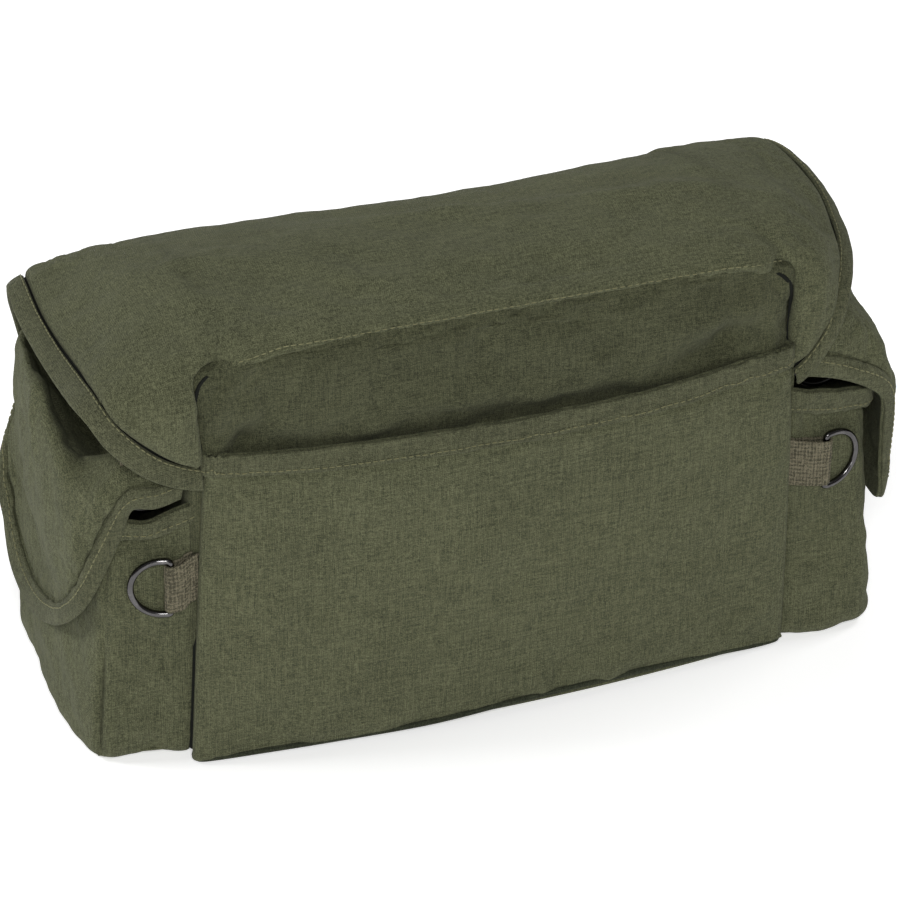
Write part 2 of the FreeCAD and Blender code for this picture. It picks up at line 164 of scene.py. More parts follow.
def metal(name, base, rough, scratch=0.06):
    m, nt, p = nodes_of(name)
    tc = nt.nodes.new("ShaderNodeTexCoord")
    fine = noise_of(nt, tc.outputs["Object"], Scale=420.0, Detail=4.0)
    worn = noise_of(nt, tc.outputs["Object"], Scale=160.0, Detail=3.0)
    col = ramp(nt, worn, [(at, tuple(min(1, c * k) for c in base)) for at,
        k in ((0.35, 1), (0.62, 1.25), (0.78, 2.1))])
    nt.links.new(col, p.inputs["Base Color"])
    rgh = math_node(nt, "ADD", math_node(nt, "MULTIPLY", fine, 0.22), rough - 0.08)
    nt.links.new(rgh, p.inputs["Roughness"])
    bn = node(nt, "ShaderNodeBump", Strength=scratch, Distance=0.0002)
    nt.links.new(fine, bn.inputs["Height"])
    nt.links.new(bn.outputs[0], p.inputs["Normal"])
    p.inputs["Metallic"].default_value = 1.0
    return m


CANVAS = fabric("olive_canvas", (0.078, 0.082, 0.044))
# The same canvas made darker for the back panel: painted shade for the back, which lies recessed under the flap.
CANVAS_BACK_SHADE = fabric("olive_canvas_back_painted_shade", (0.056, 0.059, 0.031))
CANVAS_HEM = fabric("olive_canvas_hem", (0.070, 0.073, 0.040), bump=0.55)
CANVAS_DARK = fabric("olive_canvas_inner", (0.030, 0.034, 0.020), bump=0.4)
WEBBING = fabric("webbing_weave", (0.122, 0.110, 0.071), pitch=2.1, across=1.7, rib=0.5, speckle=0.95,
    thread=1.0, bump=1.0, sheen=0.06, wobble=0.0022)
# Near-black cloth as painted shade: put in the slits, in the groove round the flap's bands and in the side gaps,
# where only shadow lies.
PAINTED_SHADE = fabric("gap_painted_shade", (0.007, 0.008, 0.006), speckle=0.1, thread=0.0, bump=0.1, sheen=0.0)
INSERT = fabric("insert_cloth", (0.070, 0.073, 0.066), pitch=0.9, speckle=0.4, bump=0.35, sheen=0.4)
THREAD = fabric("sewing_thread", (0.158, 0.153, 0.078), pitch=0.5, speckle=0.12, bump=0.3, sheen=0.2)
TAPE = fabric("fastening_tape", (0.050, 0.054, 0.036), pitch=1.1, across=1.1, speckle=0.8, bump=1.0,
    sheen=0.6)
RING = metal("gunmetal", (0.085, 0.082, 0.082), 0.17)
HOOK = metal("dull_nickel", (0.42, 0.42, 0.43), 0.34)
BOARD = fabric("fibre_board", (0.020, 0.020, 0.020), pitch=3.0, speckle=0.4, bump=0.3, sheen=0.0)


# ------------------------------------------------------------ surfaces, in millimetres
def weights(k, t):
    """Catmull-Rom weights that carry k control values to the places t, from 0 to 1."""
    W = np.zeros((len(t), k))
    for r, x in enumerate(np.asarray(t) * (k - 1)):
        i = min(int(x), k - 2)
        f = x - i
        w = ((-f**3 + 2 * f * f - f) / 2, (3 * f**3 - 5 * f * f + 2) / 2, (-3 * f**3 + 4 * f * f + f) / 2,
            (f**3 - f * f) / 2)
        for j, a in zip(range(i - 1, i + 3), w):
            if j < 0:
                W[r, 0] += 2 * a
                W[r, 1] -= a
            elif j >= k:
                W[r, k - 1] += 2 * a
                W[r, k - 2] -= a
            else:
                W[r, j] += a
    return W


def spread(n, edge=0.004):
    """n places from 0 to 1, with more of them close to both ends so that an edge can be rounded."""
    t = np.linspace(0, 1, n)
    return np.unique(np.concatenate([t, [edge * 0.2, edge * 0.55, edge],
        [1 - edge * 0.2, 1 - edge * 0.55, 1 - edge]]))


def surface(net, nr, nc, edge_r=0.006, edge_c=0.004):
    """A smooth surface through a net of control points, rows by columns."""
    N = np.asarray(net, float)
    Wr, Wc = weights(N.shape[0], spread(nr, edge_r)), weights(N.shape[1], spread(nc, edge_c))
    return np.einsum("ar,rcx,bc->abx", Wr, N, Wc)


def normals(P):
    a = np.gradient(P, axis=0)
    b = np.gradient(P, axis=1)
    n = np.cross(a, b)
    size = np.linalg.norm(n, axis=2, keepdims=True)
    return n / np.maximum(size, 1e-9)


def lengths(P, axis):
    d = np.linalg.norm(np.diff(P, axis=axis), axis=2)
    pad = [(1, 0), (0, 0)] if axis == 0 else [(0, 0), (1, 0)]
    return np.cumsum(np.pad(d, pad), axis=axis)


def rough(P, amount, size, seed, octaves=3):
    """Smooth noise at each point of P, about -amount to amount."""
    shift = Vector((seed * 17.3, seed * 5.1, seed * 9.7))
    flat = P.reshape(-1, 3) / size
    vals = [noise.fractal(Vector(p) + shift, 0.7, 2.1, octaves,
        noise_basis="PERLIN_ORIGINAL") for p in flat]
    return np.array(vals).reshape(P.shape[:2]) * amount * 1.6


def bump_at(P, centre, radii, amount):
    """A soft mound, or a dent if amount is negative, of those radii along X, Y and Z."""
    d = (P - np.array(centre, float)) / np.array(radii, float)
    return amount * np.exp(-(d**2).sum(2))


def fold_along(P, a, b, width, amount, fade=18.0):
    """A long soft fold from a to b."""
    a, b = np.array(a, float), np.array(b, float)
    d = b - a
    size = np.linalg.norm(d)
    t = ((P - a) @ d) / size
    near = P - a - (t / size)[..., None] * d
    off = np.linalg.norm(near, axis=2)
    along = 1 / (1 + np.exp(-t / fade * 4)) / (1 + np.exp((t - size) / fade * 4))
    return amount * np.exp(-(off / width) ** 2) * along


def mesh_object(name, verts, faces, mat, uv=None):
    me = bpy.data.meshes.new(name)
    me.from_pydata([tuple(v) for v in np.asarray(verts) * MM], [],
        [tuple(int(i) for i in f) for f in faces])
    me.polygons.foreach_set("use_smooth", [True] * len(me.polygons))
    if uv is not None:
        layer = me.uv_layers.new(name="UVMap")
        loops = np.zeros(len(me.loops), int)
        me.loops.foreach_get("vertex_index", loops)
        layer.data.foreach_set("uv", (np.asarray(uv)[loops] * MM).astype(np.float32).ravel())
    me.materials.append(mat)
    ob = bpy.data.objects.new(name, me)
    bpy.context.scene.collection.objects.link(ob)
    return ob


def cloth(name, P, thick, mat, flip=False, round_edge=None):
    """A closed skin of that thickness round the surface P, with rounded edges. Returns it and its outer face."""
    N = normals(P) * (-1 if flip else 1)
    lr, lc = lengths(P, 0), lengths(P, 1)
    d = np.minimum(np.minimum(lr, lr[-1:] - lr), np.minimum(lc, lc[:, -1:] - lc))
    half = thick / 2
    edge = round_edge or half
    k = np.clip(d / edge, 0, 1)
    h = (half * np.sqrt(np.maximum(1 - (1 - k) ** 2, 0)))[..., None] + 0.02
    top, low = P + N * h, P - N * h
    R, C = P.shape[:2]
    idx = np.arange(R * C).reshape(R, C)
    quads = np.stack([idx[:-1, :-1], idx[1:, :-1], idx[1:, 1:], idx[:-1, 1:]], -1).reshape(-1, 4)
    if flip:
        quads = quads[:, ::-1]
    off = R * C
    faces = [tuple(q) for q in quads] + [tuple((q + off)[::-1]) for q in quads]
    rim = list(idx[0, :]) + list(idx[1:, -1]) + list(idx[-1, -2::-1]) + list(idx[-2:0:-1, 0])
    n = len(rim)
    for i in range(n):
        a, b = rim[i], rim[(i + 1) % n]
        f = (a, b, b + off, a + off)
        faces.append(f[::-1] if flip else f)
    top[..., 2], low[..., 2] = np.maximum(top[..., 2], 0.1), np.maximum(low[..., 2], 0.05)
    uv = np.stack([lc, lr], -1).reshape(-1, 2)
    ob = mesh_object(name, np.concatenate([top.reshape(-1, 3), low.reshape(-1, 3)]), faces, mat,
        np.concatenate([uv, uv + 0.37]))
    return ob, top


def from_edge(P, distances, end=-1):
    """Rows of points at those distances from the surface's last row, or its first with end=0."""
    Q = P if end == -1 else P[::-1]
    out = np.zeros((len(distances), P.shape[1], 3))
    for c in range(P.shape[1]):
        col = Q[::-1, c]
        s = np.concatenate([[0], np.cumsum(np.linalg.norm(np.diff(col, axis=0), axis=1))])
        for x in range(3):
            out[:, c, x] = np.interp(distances, s, col[:, x])
    return out


def hem(name, P, width, lift, thick, seam, attach, nodes, flip=False, crown=0.35, seed=1):
    """A folded band along a surface's last row, standing off it by lift, with its row of stitches."""
    d = np.unique(np.concatenate([np.linspace(0, width, 9), [0.15, 0.5, 1.0, width - 1.0, width - 0.5,
        width - 0.15]]))
    B = from_edge(P, d)
    sign = 1 if flip else -1
    B = B + normals(B) * sign * (lift + crown * np.sin(np.pi * d / width))[:, None, None]
    band, top = cloth(name, B, thick, CANVAS_HEM, flip=not flip)
    rows = from_edge(top, [seam - 0.4, seam, seam + 0.4], 0)
    st = stitches(name + "_stitches", rows[1], normals(rows)[1] * sign, seed=seed)
    attach(band)
    attach(st)
    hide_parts(*nodes)


def stitches(name, path, normal, pitch=3.4, long=2.6, wide=0.60, high=0.42, lift=0.08, seed=1):
    """A run of single stitches along a line on the cloth. normal is one vector for each point of the line."""
    path, normal = np.asarray(path, float), np.asarray(normal, float)
    s = np.concatenate([[0], np.cumsum(np.linalg.norm(np.diff(path, axis=0), axis=1))])
    count = int(s[-1] / pitch)
    rng = np.random.default_rng(seed)
    ring, rows = 8, 5
    verts, faces = [], []
    for k in range(count):
        mid = (k + 0.5) * pitch
        ends = np.array([mid - long / 2, mid + long / 2]) + rng.normal(0, 0.10, 2)
        a, b = (np.array([np.interp(e, s, path[:, i]) for i in range(3)]) for e in ends)
        nrm = np.array([np.interp(mid, s, normal[:, i]) for i in range(3)])
        nrm /= np.linalg.norm(nrm)
        t = b - a
        size = np.linalg.norm(t)
        if size < 0.3:
            continue
        t /= size
        side = np.cross(nrm, t)
        base = len(verts)
        centre = (a + b) / 2 + nrm * lift + side * rng.normal(0, 0.07)
        for r in range(rows):
            ang = math.pi * (r + 0.5) / rows
            for q in range(ring):
                w = 2 * math.pi * q / ring
                across = side * math.cos(w) * math.sin(ang) ** 0.6 * wide / 2
                up = nrm * math.sin(w) * math.sin(ang) ** 0.6 * high
                verts.append(centre - t * math.cos(ang) * size / 2 + across + up)
        for r in range(rows - 1):
            for q in range(ring):
                q2 = (q + 1) % ring
                faces.append((base + r * ring + q, base + r * ring + q2, base + (r + 1) * ring + q2,
                    base + (r + 1) * ring + q))
        faces.append(tuple(base + q for q in range(ring))[::-1])
        faces.append(tuple(base + (rows - 1) * ring + q for q in range(ring)))
    ob = mesh_object(name, verts, faces, THREAD)
    return ob


def seam_on(name, top, distance, end=-1, flip=False, **kw):
    """Stitches at one distance from an edge of a piece's outer face."""
    rows = from_edge(top, [distance - 0.4, distance, distance + 0.4], end)
    N = normals(rows)[1] * (-1 if flip else 1)
    return stitches(name, rows[1], N, **kw)


def settle(P, hold, pressure, slack, cap, step, frames=18, flip=False):
    """Lets the surface P move as cloth, held where hold is 1 and pushed out from inside, by at most cap."""
    R, C = P.shape[:2]
    ri = np.unique(np.linspace(0, R - 1, max(3, int(lengths(P, 0)[-1].max() / step))).round().astype(int))
    ci = np.unique(np.linspace(0, C - 1, max(3, int(lengths(P, 1)[:,
        -1].max() / step))).round().astype(int))
    Q = P[np.ix_(ri, ci)]
    pin = hold[np.ix_(ri, ci)].ravel()
    idx = np.arange(len(ri) * len(ci)).reshape(len(ri), len(ci))
    quads = np.stack([idx[:-1, :-1], idx[1:, :-1], idx[1:, 1:], idx[:-1, 1:]], -1).reshape(-1, 4)
    if flip:
        quads = quads[:, ::-1]
    ob = mesh_object("settling", Q.reshape(-1, 3), quads, CANVAS)
    group = ob.vertex_groups.new(name="held")
    for i, w in enumerate(pin):
        if w > 0.001:
            group.add([i], float(w), "REPLACE")
    mod = ob.modifiers.new("cloth", "CLOTH")
    c = mod.settings
    c.quality = 6
    c.mass = 0.15
    c.air_damping = 2.0
    c.tension_stiffness = c.compression_stiffness = 20
    c.shear_stiffness = 8
    c.bending_stiffness = 0.35
    c.vertex_group_mass = "held"
    c.shrink_min = -slack
    c.use_pressure = True
    c.uniform_pressure_force = pressure
    c.effector_weights.gravity = 0
    mod.collision_settings.use_collision = False
    mod.point_cache.frame_start, mod.point_cache.frame_end = 1, frames
    scene = bpy.context.scene
    for f in range(1, frames + 1):
        scene.frame_set(f)
    ev = ob.evaluated_get(bpy.context.evaluated_depsgraph_get())
    got = np.zeros(len(ev.data.vertices) * 3)
    ev.data.vertices.foreach_get("co", got)
    D = got.reshape(len(ri), len(ci), 3) / MM - Q
    scene.frame_set(1)
    me = ob.data
    bpy.data.objects.remove(ob)
    bpy.data.meshes.remove(me)
    size = np.linalg.norm(D, axis=2, keepdims=True)
    D = D * cap * np.tanh(size / cap) / np.maximum(size, 1e-6)
    rows = np.stack([[np.interp(np.arange(R), ri, D[:, c, x]) for x in range(3)] for c in range(len(ci))],
        1)
    full = np.stack([[np.interp(np.arange(C), ci, rows[x, :, r]) for x in range(3)] for r in range(R)], 1)
    return P + full.transpose(1, 2, 0)


# ------------------------------------------------------------ camera, light and floor
def look(location, forward, roll):
    f = Vector(forward).normalized()
    r = f.cross(Vector((0, 0, 1))).normalized()
    u = r.cross(f)
    c, s = math.cos(math.radians(roll)), math.sin(math.radians(roll))
    r2, u2 = r * c + u * s, u * c - r * s
    m = Matrix((r2, u2, -f)).transposed().to_4x4()
    m.translation = Vector(location)
    return m


CAMERA_PLACE = (0.614667, 1.695004, 1.275324)
CAMERA_AIM = (-0.285779, -0.786759, -0.547120)
CAMERA_ROLL = 0.6
LENS = 178.47492
cam_data = bpy.data.cameras.new("camera")
cam = bpy.data.objects.new("camera", cam_data)
bpy.context.scene.collection.objects.link(cam)
cam.matrix_world = look(CAMERA_PLACE, CAMERA_AIM, CAMERA_ROLL)
cam_data.sensor_width = 36.0
cam_data.lens = LENS
cam_data.clip_end = 50
bpy.context.scene.camera = cam


def area(name, location, target, size, power):
    d = bpy.data.lights.new(name, "AREA")
    d.shape = "RECTANGLE"
    d.size, d.size_y = size
    d.energy = power
    o = bpy.data.objects.new(name, d)
    bpy.context.scene.collection.objects.link(o)
    o.location = location
    o.rotation_euler = (Vector(target) - Vector(location)).to_track_quat("-Z", "Y").to_euler()


area("front", (0.7, 2.3, 2.0), (0, 0, 0.12), (0.8, 0.6), 44)
area("left", (2.0, -0.7, 1.6), (0, 0, 0.12), (0.8, 0.8), 30)
area("top", (-0.3, -0.9, 2.4), (0, 0, 0.1), (1.4, 1.4), 6)
area("right", (-1.9, -0.3, 2.1), (0, 0, 0.14), (0.9, 0.9), 19)
area("low", (0.9, 2.3, 0.35), (0, 0, 0.05), (1.2, 0.4), 6)

world = bpy.data.worlds.new("studio")
bpy.context.scene.world = world
world.use_nodes = True
world.node_tree.nodes["Background"].inputs[0].default_value = (1, 1, 1, 1)
world.node_tree.nodes["Background"].inputs[1].default_value = 0.14
bpy.context.scene.view_settings.view_transform = "Standard"



def studio_floor(reach=9000, n=24, height=-0.6):
    """A pale floor of n by n points, in millimetres."""
    gx, gy = np.meshgrid(np.linspace(-reach, reach, n), np.linspace(-reach, reach, n))
    points = np.stack([gx, gy, np.full_like(gx, height)], -1)
    idx = np.arange(n * n).reshape(n, n)
    quads = np.stack([idx[:-1, :-1], idx[:-1, 1:], idx[1:, 1:], idx[1:, :-1]], -1).reshape(-1, 4)
    mat, _, p = nodes_of("pale_floor")
    p.inputs["Base Color"].default_value = (0.93, 0.93, 0.93, 1)
    p.inputs["Roughness"].default_value = 0.9
    p.inputs["Specular IOR Level"].default_value = 0.1
    p.inputs["Emission Color"].default_value = (1, 1, 1, 1)
    p.inputs["Emission Strength"].default_value = 0.42
    mesh_object("floor", points.reshape(-1, 3), quads, mat)


studio_floor()


def on_bag(ob):
    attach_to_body(ob, "bag")


# ------------------------------------------------------------ rear slip pocket and back
def foot(x):
    """How far the lower rear edge stands off the ground at x."""
    return 3.4 * math.exp(-((x + 45) / 80) ** 4) + 0.8 * math.exp(-((x - 70) / 40) ** 2)


def side_lean(x, z):
    """How far the seam at the slip pocket's side stands from the upright, at that x and height."""
    near = min(1.0, max(0.0, 1 - (abs(abs(x) - 148) - 3) / 20))
    return near * (4.2 - 8.5 * z / 165) if x > 0 else near * 3.9 * (z / 165) ** 2


def slip_pocket():
    xs = [146.0, 148.3, 147.4, 140, 120, 90, 40, 0, -30, -70, -110, -132, -142, -146.6, -147.4, -145.4]
    low = [71.0, 75.2, 78.6, 80.0, 81.8, 84.3, 87.3, 87.0, 85.8, 83.6, 80.5, 78.6, 77.4, 76.2, 74.0, 71.0]
    high = [71.0, 75.4, 78.8, 80.0, 81.6, 83.6, 85.8, 86.4, 86.2, 84.8, 82.2, 80.6, 79.8, 78.6, 75.6, 71.0]
    top_z = [173.4, 173.2, 173.0, 172.2, 170.5, 168.9, 167.6, 167.0, 167.0, 168.4, 171.0, 172.6, 173.2,
        173.6, 173.8, 173.8]
    rows = []
    for f in (0.0, 0.012, 0.05, 0.2, 0.45, 0.7, 0.88, 1.0):
        row = []
        for x, a, b, tz in zip(xs, low, high, top_z):
            low_z = 1.0 + foot(x)
            z = low_z + f * (tz - low_z)
            x += side_lean(x, z)
            y = a + (b - a) * f + 1.6 * math.sin(math.pi * f) * (1 - (x / 150) ** 2)
            if f == 0.0:
                y -= 2.2
            row.append((x, y, z))
        rows.append(row)
    P = surface(rows, 90, 170, 0.008, 0.005)
    N = -normals(P)
    hold = np.clip(1.0 - np.minimum((148 - np.abs(P[..., 0])) / 10,
        np.minimum(P[..., 2] / 8, (190 - P[..., 2]) / 40)), 0.03, 1)
    P = settle(P, hold, 1.2, 0.006, 1.6, 5, flip=True)
    d = rough(P, 1.3, 70, 3) + rough(P, 0.45, 24, 5, 2)
    d += bump_at(P, (-60, 86, 165), (60, 30, 14), 0.9) + bump_at(P, (70, 86, 160), (55, 30, 16), -0.7)
    d += fold_along(P, (146, 80, 20), (120, 82, 70), 9, 0.7) + fold_along(P, (-140, 80, 60), (-120, 82, 20),
        10, -0.5)
    inner = 1 - np.clip((np.abs(P[..., 0]) - 138) / 9, 0, 1)
    down = lengths(P, 0)[-1:] - lengths(P, 0)
    d = d * np.clip(down / 22, 0.35, 1) - 0.7 * np.exp(-((down - 13.4) / 1.3) ** 2)
    P = P + N * (d * inner)[..., None]
    body, _ = cloth("slip_pocket_canvas", P, 2.2, CANVAS, flip=True)
    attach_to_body(body, "bag")
    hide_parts("slip_pocket_panel")
    hem("slip_pocket_top_hem", P, 12.0, 1.5, 1.9, 10.4, on_bag, ["slip_pocket_hem"], flip=True, crown=0.25,
        seed=2)


def back_panel():
    xs = [146.8, 146.6, 144.6, 137, 114, 70, 20, -20, -70, -112, -132, -139.8, -142.2, -142.4]
    mouth = [62.5, 69.5, 74.0, 77.4, 79.2, 81.6, 83.4, 83.2, 82.2, 79.6, 77.4, 73.6, 69.0, 62.5]
    base = [62.5, 69.5, 74.0, 75.9, 76.2, 76.3, 76.3, 76.3, 76.3, 76.2, 75.7, 73.6, 69.0, 62.5]
    rows = []
    table = ((3, -3.2, 0), (60, -3, 0), (120, -3, 0), (158, -2.6, 0), (172, -1.8, 0), (184, 0.4, 0),
        (197, 1.7, 0), (208, 1.8, 0), (215, 0.9, 0), (220.5, -0.6, 1), (222.5, -4.5, 1), (222, -10, 1))
    for z, dy, top in table:
        row = []
        for x, y, m in zip(xs, base, mouth):
            ax = abs(x)
            droop = 0.0 if ax < 112 else (ax - 112) / 32 * 9.5
            zz = z - droop * max(0.0, min(1.0, (z - 165) / 52))
            swell = max(0.0, m - y - dy) * math.exp(-((z - 174) / 15) ** 2)
            slant = 0.0
            if ax > 130:
                slant = -3.4 * max(0.0, min(1.0, (188 - z) / 24)) - 4.0 * max(0.0, min(1.0, (z - 205) / 8))
            row.append((x + math.copysign(slant, x), y + dy + swell, zz))
        rows.append(row)
    P = surface(rows, 110, 140, 0.006, 0.006)
    N = -normals(P)
    edge = np.minimum((146 - np.abs(P[..., 0])) / 7, np.minimum((P[..., 2] - 150) / 12,
        (220 - P[..., 2]) / 5))
    P = settle(P, np.clip(1 - edge, 0.03, 1), 1.2, 0.02, 2.0, 4, flip=True)
    d = rough(P, 1.6, 48, 11) + rough(P, 0.6, 19, 12, 2)
    for c, r, a in (((127, 76, 175), (10, 30, 10), -8.0), ((122, 76, 192), (12, 30, 7), 1.8),
        ((104, 76, 171), (18, 30, 8), -3.0), ((12, 76, 170), (44, 30, 7), -2.6),
                    ((-40, 76, 167), (22, 30, 8), -2.0), ((-112, 76, 184), (9, 30, 8),
                        -8.5), ((-97, 76, 178), (13, 30, 7), -7.0), ((-103, 76, 196), (16, 30, 6), 2.4),
                    ((-130, 76, 184), (13, 30, 10), -2.2), ((112, 76, 196), (7, 30, 18),
                        -1.5), ((60, 76, 196), (40, 30, 14), 1.0),
                    ((-40, 76, 198), (46, 30, 12), 1.0), ((-122, 76, 200), (20, 30, 9),
                        1.6), ((135, 76, 194), (9, 30, 14), 1.6)):
        d += bump_at(P, c, r, a)
    d += fold_along(P, (122, 76, 208), (110, 76, 180), 5, -0.9) + fold_along(P, (-140, 76, 208),
        (-118, 76, 186), 6, -1.1)
    d += fold_along(P, (-112, 76, 200), (-104, 76, 176), 5, -1.6, 8) + fold_along(P, (80, 76, 205),
        (92, 76, 184), 6, -0.5)
    inner = 1 - np.clip((np.abs(P[..., 0]) - 126) / 18, 0, 1)
    over = np.clip((226 - P[..., 2]) / 12, 0, 1)
    d += 0.5 * np.sin(P[..., 0] / 1.5 + rough(P, 2.5, 30, 14)) * np.exp(-((P[..., 2] - 219) / 6.0) ** 2)
    P = P + N * (d * inner * over)[..., None]
    # The back panel takes the darker canvas, which is painted shade.
    body, top = cloth("back_panel_canvas", P, 2.2, CANVAS_BACK_SHADE, flip=True)
    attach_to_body(body, "bag")
    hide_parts("back_panel", "flap_seam_strip")
    return top


slip_pocket()
BACK_TOP = back_panel()


# ------------------------------------------------------------ main flap
def mid_rows(x, hinge_z, lift=0.0):
    """The flap's path over the bag at x, from just under the hinge seam to its front edge."""
    return [(x, 73.0, hinge_z - 9), (x, 75.0, hinge_z - 4.5), (x, 76.4, hinge_z), (x, 67, 226),
        (x, 42, 229), (x, 5, 226.5 + lift * 0.4),
            (x, -30, 217 + lift * 0.9), (x, -60, 204.5 + lift), (x, -81, 190 + lift * 0.9), (x, -102,
                165.5 + lift * 0.3), (x, -118.5, 141), (x, -121, 118), (x, -121, 97)]


PLUS_X_COLS = [
    [(187.5, 74.5, 201), (189.5, 68, 204.5), (190, 60, 204), (190, 50, 202.3), (190.2, 34, 199.5),
        (191, 4, 195.5), (191, -30, 193), (189.5, -60, 193), (186, -80, 184.5), (180.5, -101, 163),
        (174.5, -118, 141), (170, -121, 118), (166, -121, 97)],
    [(182.5, 76.3, 193), (184.5, 76, 203), (184.5, 71, 209), (185, 60, 209.5), (185.3, 38, 206.5),
        (185.5, 5, 202.5), (185.5, -30, 198), (184, -60, 196), (180.5, -81, 186.5), (175, -101.5, 165),
        (169, -118.5, 141), (164.5, -121.3, 118), (160, -121.3, 97)],
    [(172.5, 77.2, 182), (173, 79, 193), (172.5, 77.8, 207), (172.5, 66, 215.5), (172.5, 42, 216),
        (172.5, 5, 212.5), (172.5, -30, 206.5), (171.5, -60, 200.5), (168, -81, 188.5), (163, -102, 165.5),
        (158, -118.5, 141), (154, -121.5, 118), (151, -121.5, 97)],
    [(160, 77, 171.8), (160, 80, 188), (160, 79.5, 207), (160, 70, 219.5), (160, 44, 222.0),
        (160, 5, 218.8), (160, -30, 212.5), (159, -60, 204), (157, -81, 190), (153, -102, 165.5),
        (148, -118.5, 141), (145, -121.3, 118), (142, -121.3, 97)],
    [(150.4, 76.6, 166.5), (153, 79.2, 186), (152.4, 79.2, 206), (150, 70.8, 220), (149, 44, 225.0),
        (149, 5, 222), (149, -30, 214.5), (148, -60, 204.5), (146, -81, 190), (142, -102, 165.5),
        (138, -118.5, 141), (135, -121, 118), (132, -121, 97)],
    [(146.6, 75.0, 164.8), (150.0, 77, 187), (149.4, 76.6, 206), (143, 71.5, 220.5), (142, 44, 226.4),
        (142, 5, 223.5), (142, -30, 215.3), (141, -60, 204.5), (139, -81, 190), (134, -102, 165.5),
        (130, -118.5, 141), (128, -121, 118), (125, -121, 97)],
    [(146.0, 64, 163), (149.4, 64.5, 186), (147.6, 66.0, 208), (137, 71.0, 220.0), (135, 44, 227.5),
        (135, 5, 224.7), (135, -30, 216), (134, -60, 204.5), (131, -81, 190), (126, -102, 165.5),
        (122, -118.5, 141), (120, -121, 118), (118, -121, 97)],
]
MINUS_X_COLS = [
    [(165, 73.5, 187), (169, 69, 192), (173.5, 60, 196.5), (178, 49, 200), (182.5, 36, 201.5),
        (189, 2, 204), (190, -30, 204.5), (189.5, -60, 199.5), (186, -80, 187.5), (180.5, -101, 164),
        (174.5, -118, 141), (170, -121, 118), (166, -121, 97)],
    [(161.5, 75.3, 178.5), (164.5, 76, 192), (168.5, 68.5, 203), (173, 57, 206.5), (177, 40, 208),
        (183, 4, 209.5), (184.5, -30, 208), (184, -60, 202), (180.5, -81, 189), (175, -101.5, 165),
        (169, -118.5, 141), (164.5, -121.3, 118), (160, -121.3, 97)],
    [(157, 75.9, 170.5), (159, 78, 189), (161.5, 76, 206), (165, 65.5, 214), (168, 43, 217), (171, 5, 216),
        (172, -30, 211), (171.5, -60, 203.5), (168, -81, 190), (163, -102, 165.5), (158, -118.5, 141),
        (154, -121.5, 118), (151, -121.5, 97)],
    [(153, 76.0, 165.5), (154, 78.5, 186), (155, 77.7, 206.5), (156.5, 69, 218), (158, 44, 222.0),
        (160, 5, 220.3), (160, -30, 213.6), (159, -60, 204.3), (157, -81, 190), (153, -102, 165.5),
        (148, -118.5, 141), (145, -121.3, 118), (142, -121.3, 97)],
    [(149.3, 75.8, 162), (149.6, 78, 184), (149.6, 77.6, 206), (149.5, 70, 219.5), (149.5, 44, 225.0),
        (149, 5, 223.2), (149, -30, 215), (148, -60, 204.5), (146, -81, 190), (142, -102, 165.5),
        (138, -118.5, 141), (135, -121, 118), (132, -121, 97)],
    [(145.2, 74.5, 159), (145.8, 76.5, 183), (145.2, 75.8, 205), (143, 71.5, 220), (142, 44, 226.4),
        (142, 5, 224.2), (142, -30, 215.6), (141, -60, 204.5), (139, -81, 190), (134, -102, 165.5),
        (130, -118.5, 141), (128, -121, 118), (125, -121, 97)],
    [(144.6, 65, 158), (145.2, 65.5, 182), (143.0, 67.0, 207), (136.5, 71.0, 220.0), (135, 44, 227.5),
        (135, 5, 225), (135, -30, 216.3), (134, -60, 204.5), (131, -81, 190), (126, -102, 165.5),
        (122, -118.5, 141), (120, -121, 118), (118, -121, 97)],
]
PLUS_X_RIM = [
    ((145.8, 76, 164.2), (145.4, 77, 153)), ((153, 76.6, 167.5), (155.5, 77.7, 156.3)), ((163, 77.2, 173.5),
        (168, 78, 162.8)), ((172.5, 77.4, 182), (178.8, 78, 171.6)),
    ((182.5, 76.3, 193), (190, 76.5, 184.5)), ((187.8, 74.3, 201), (196.5, 72.5, 195.5)), ((190, 60, 204),
        (200, 60, 197.5)), ((190.2, 34, 199.5), (200.2, 36, 193.4)),
    ((191, 4, 195.5), (200.8, 2, 190.6)), ((191, -30, 193), (200.4, -33, 189)), ((189.5, -60, 193),
        (197.8, -60, 188)), ((186, -80, 184.5), (193, -82, 178)),
    ((180.5, -101, 163), (188, -103, 157.5)), ((174.5, -118, 141), (182, -120.5, 136)), ((170, -121, 118),
        (177, -122, 112)), ((166, -121, 97), (172, -122, 87)),
]
MINUS_X_RIM = [
    ((146.8, 75.6, 159), (148, 76.6, 150.5)), ((150, 75.9, 162), (153.5, 76.6, 154.5)), ((154, 76, 166.5),
        (160, 76.5, 162)), ((158, 75.8, 172), (165.5, 75.8, 171)),
    ((162, 75.2, 179.5), (170, 74.5, 180)), ((166.5, 71.8, 189), (175, 70.5, 190)), ((173.5, 60, 196.5),
        (181.5, 58, 194.5)), ((182.5, 36, 201.5), (190, 33, 197)),
    ((189, 2, 204), (196, 0, 196.5)), ((190, -30, 204.5), (197.3, -31, 197)), ((189.5, -60, 199.5),
        (196.5, -62, 193)), ((186, -80, 187.5), (193, -82, 180)),
    ((180.5, -101, 164), (188, -103, 158)), ((174.5, -118, 141), (182, -120.5, 136)), ((170, -121, 118),
        (177, -122, 112)), ((166, -121, 97), (172, -122, 87)),
]


def bend_lid(ob):
    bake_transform(ob)


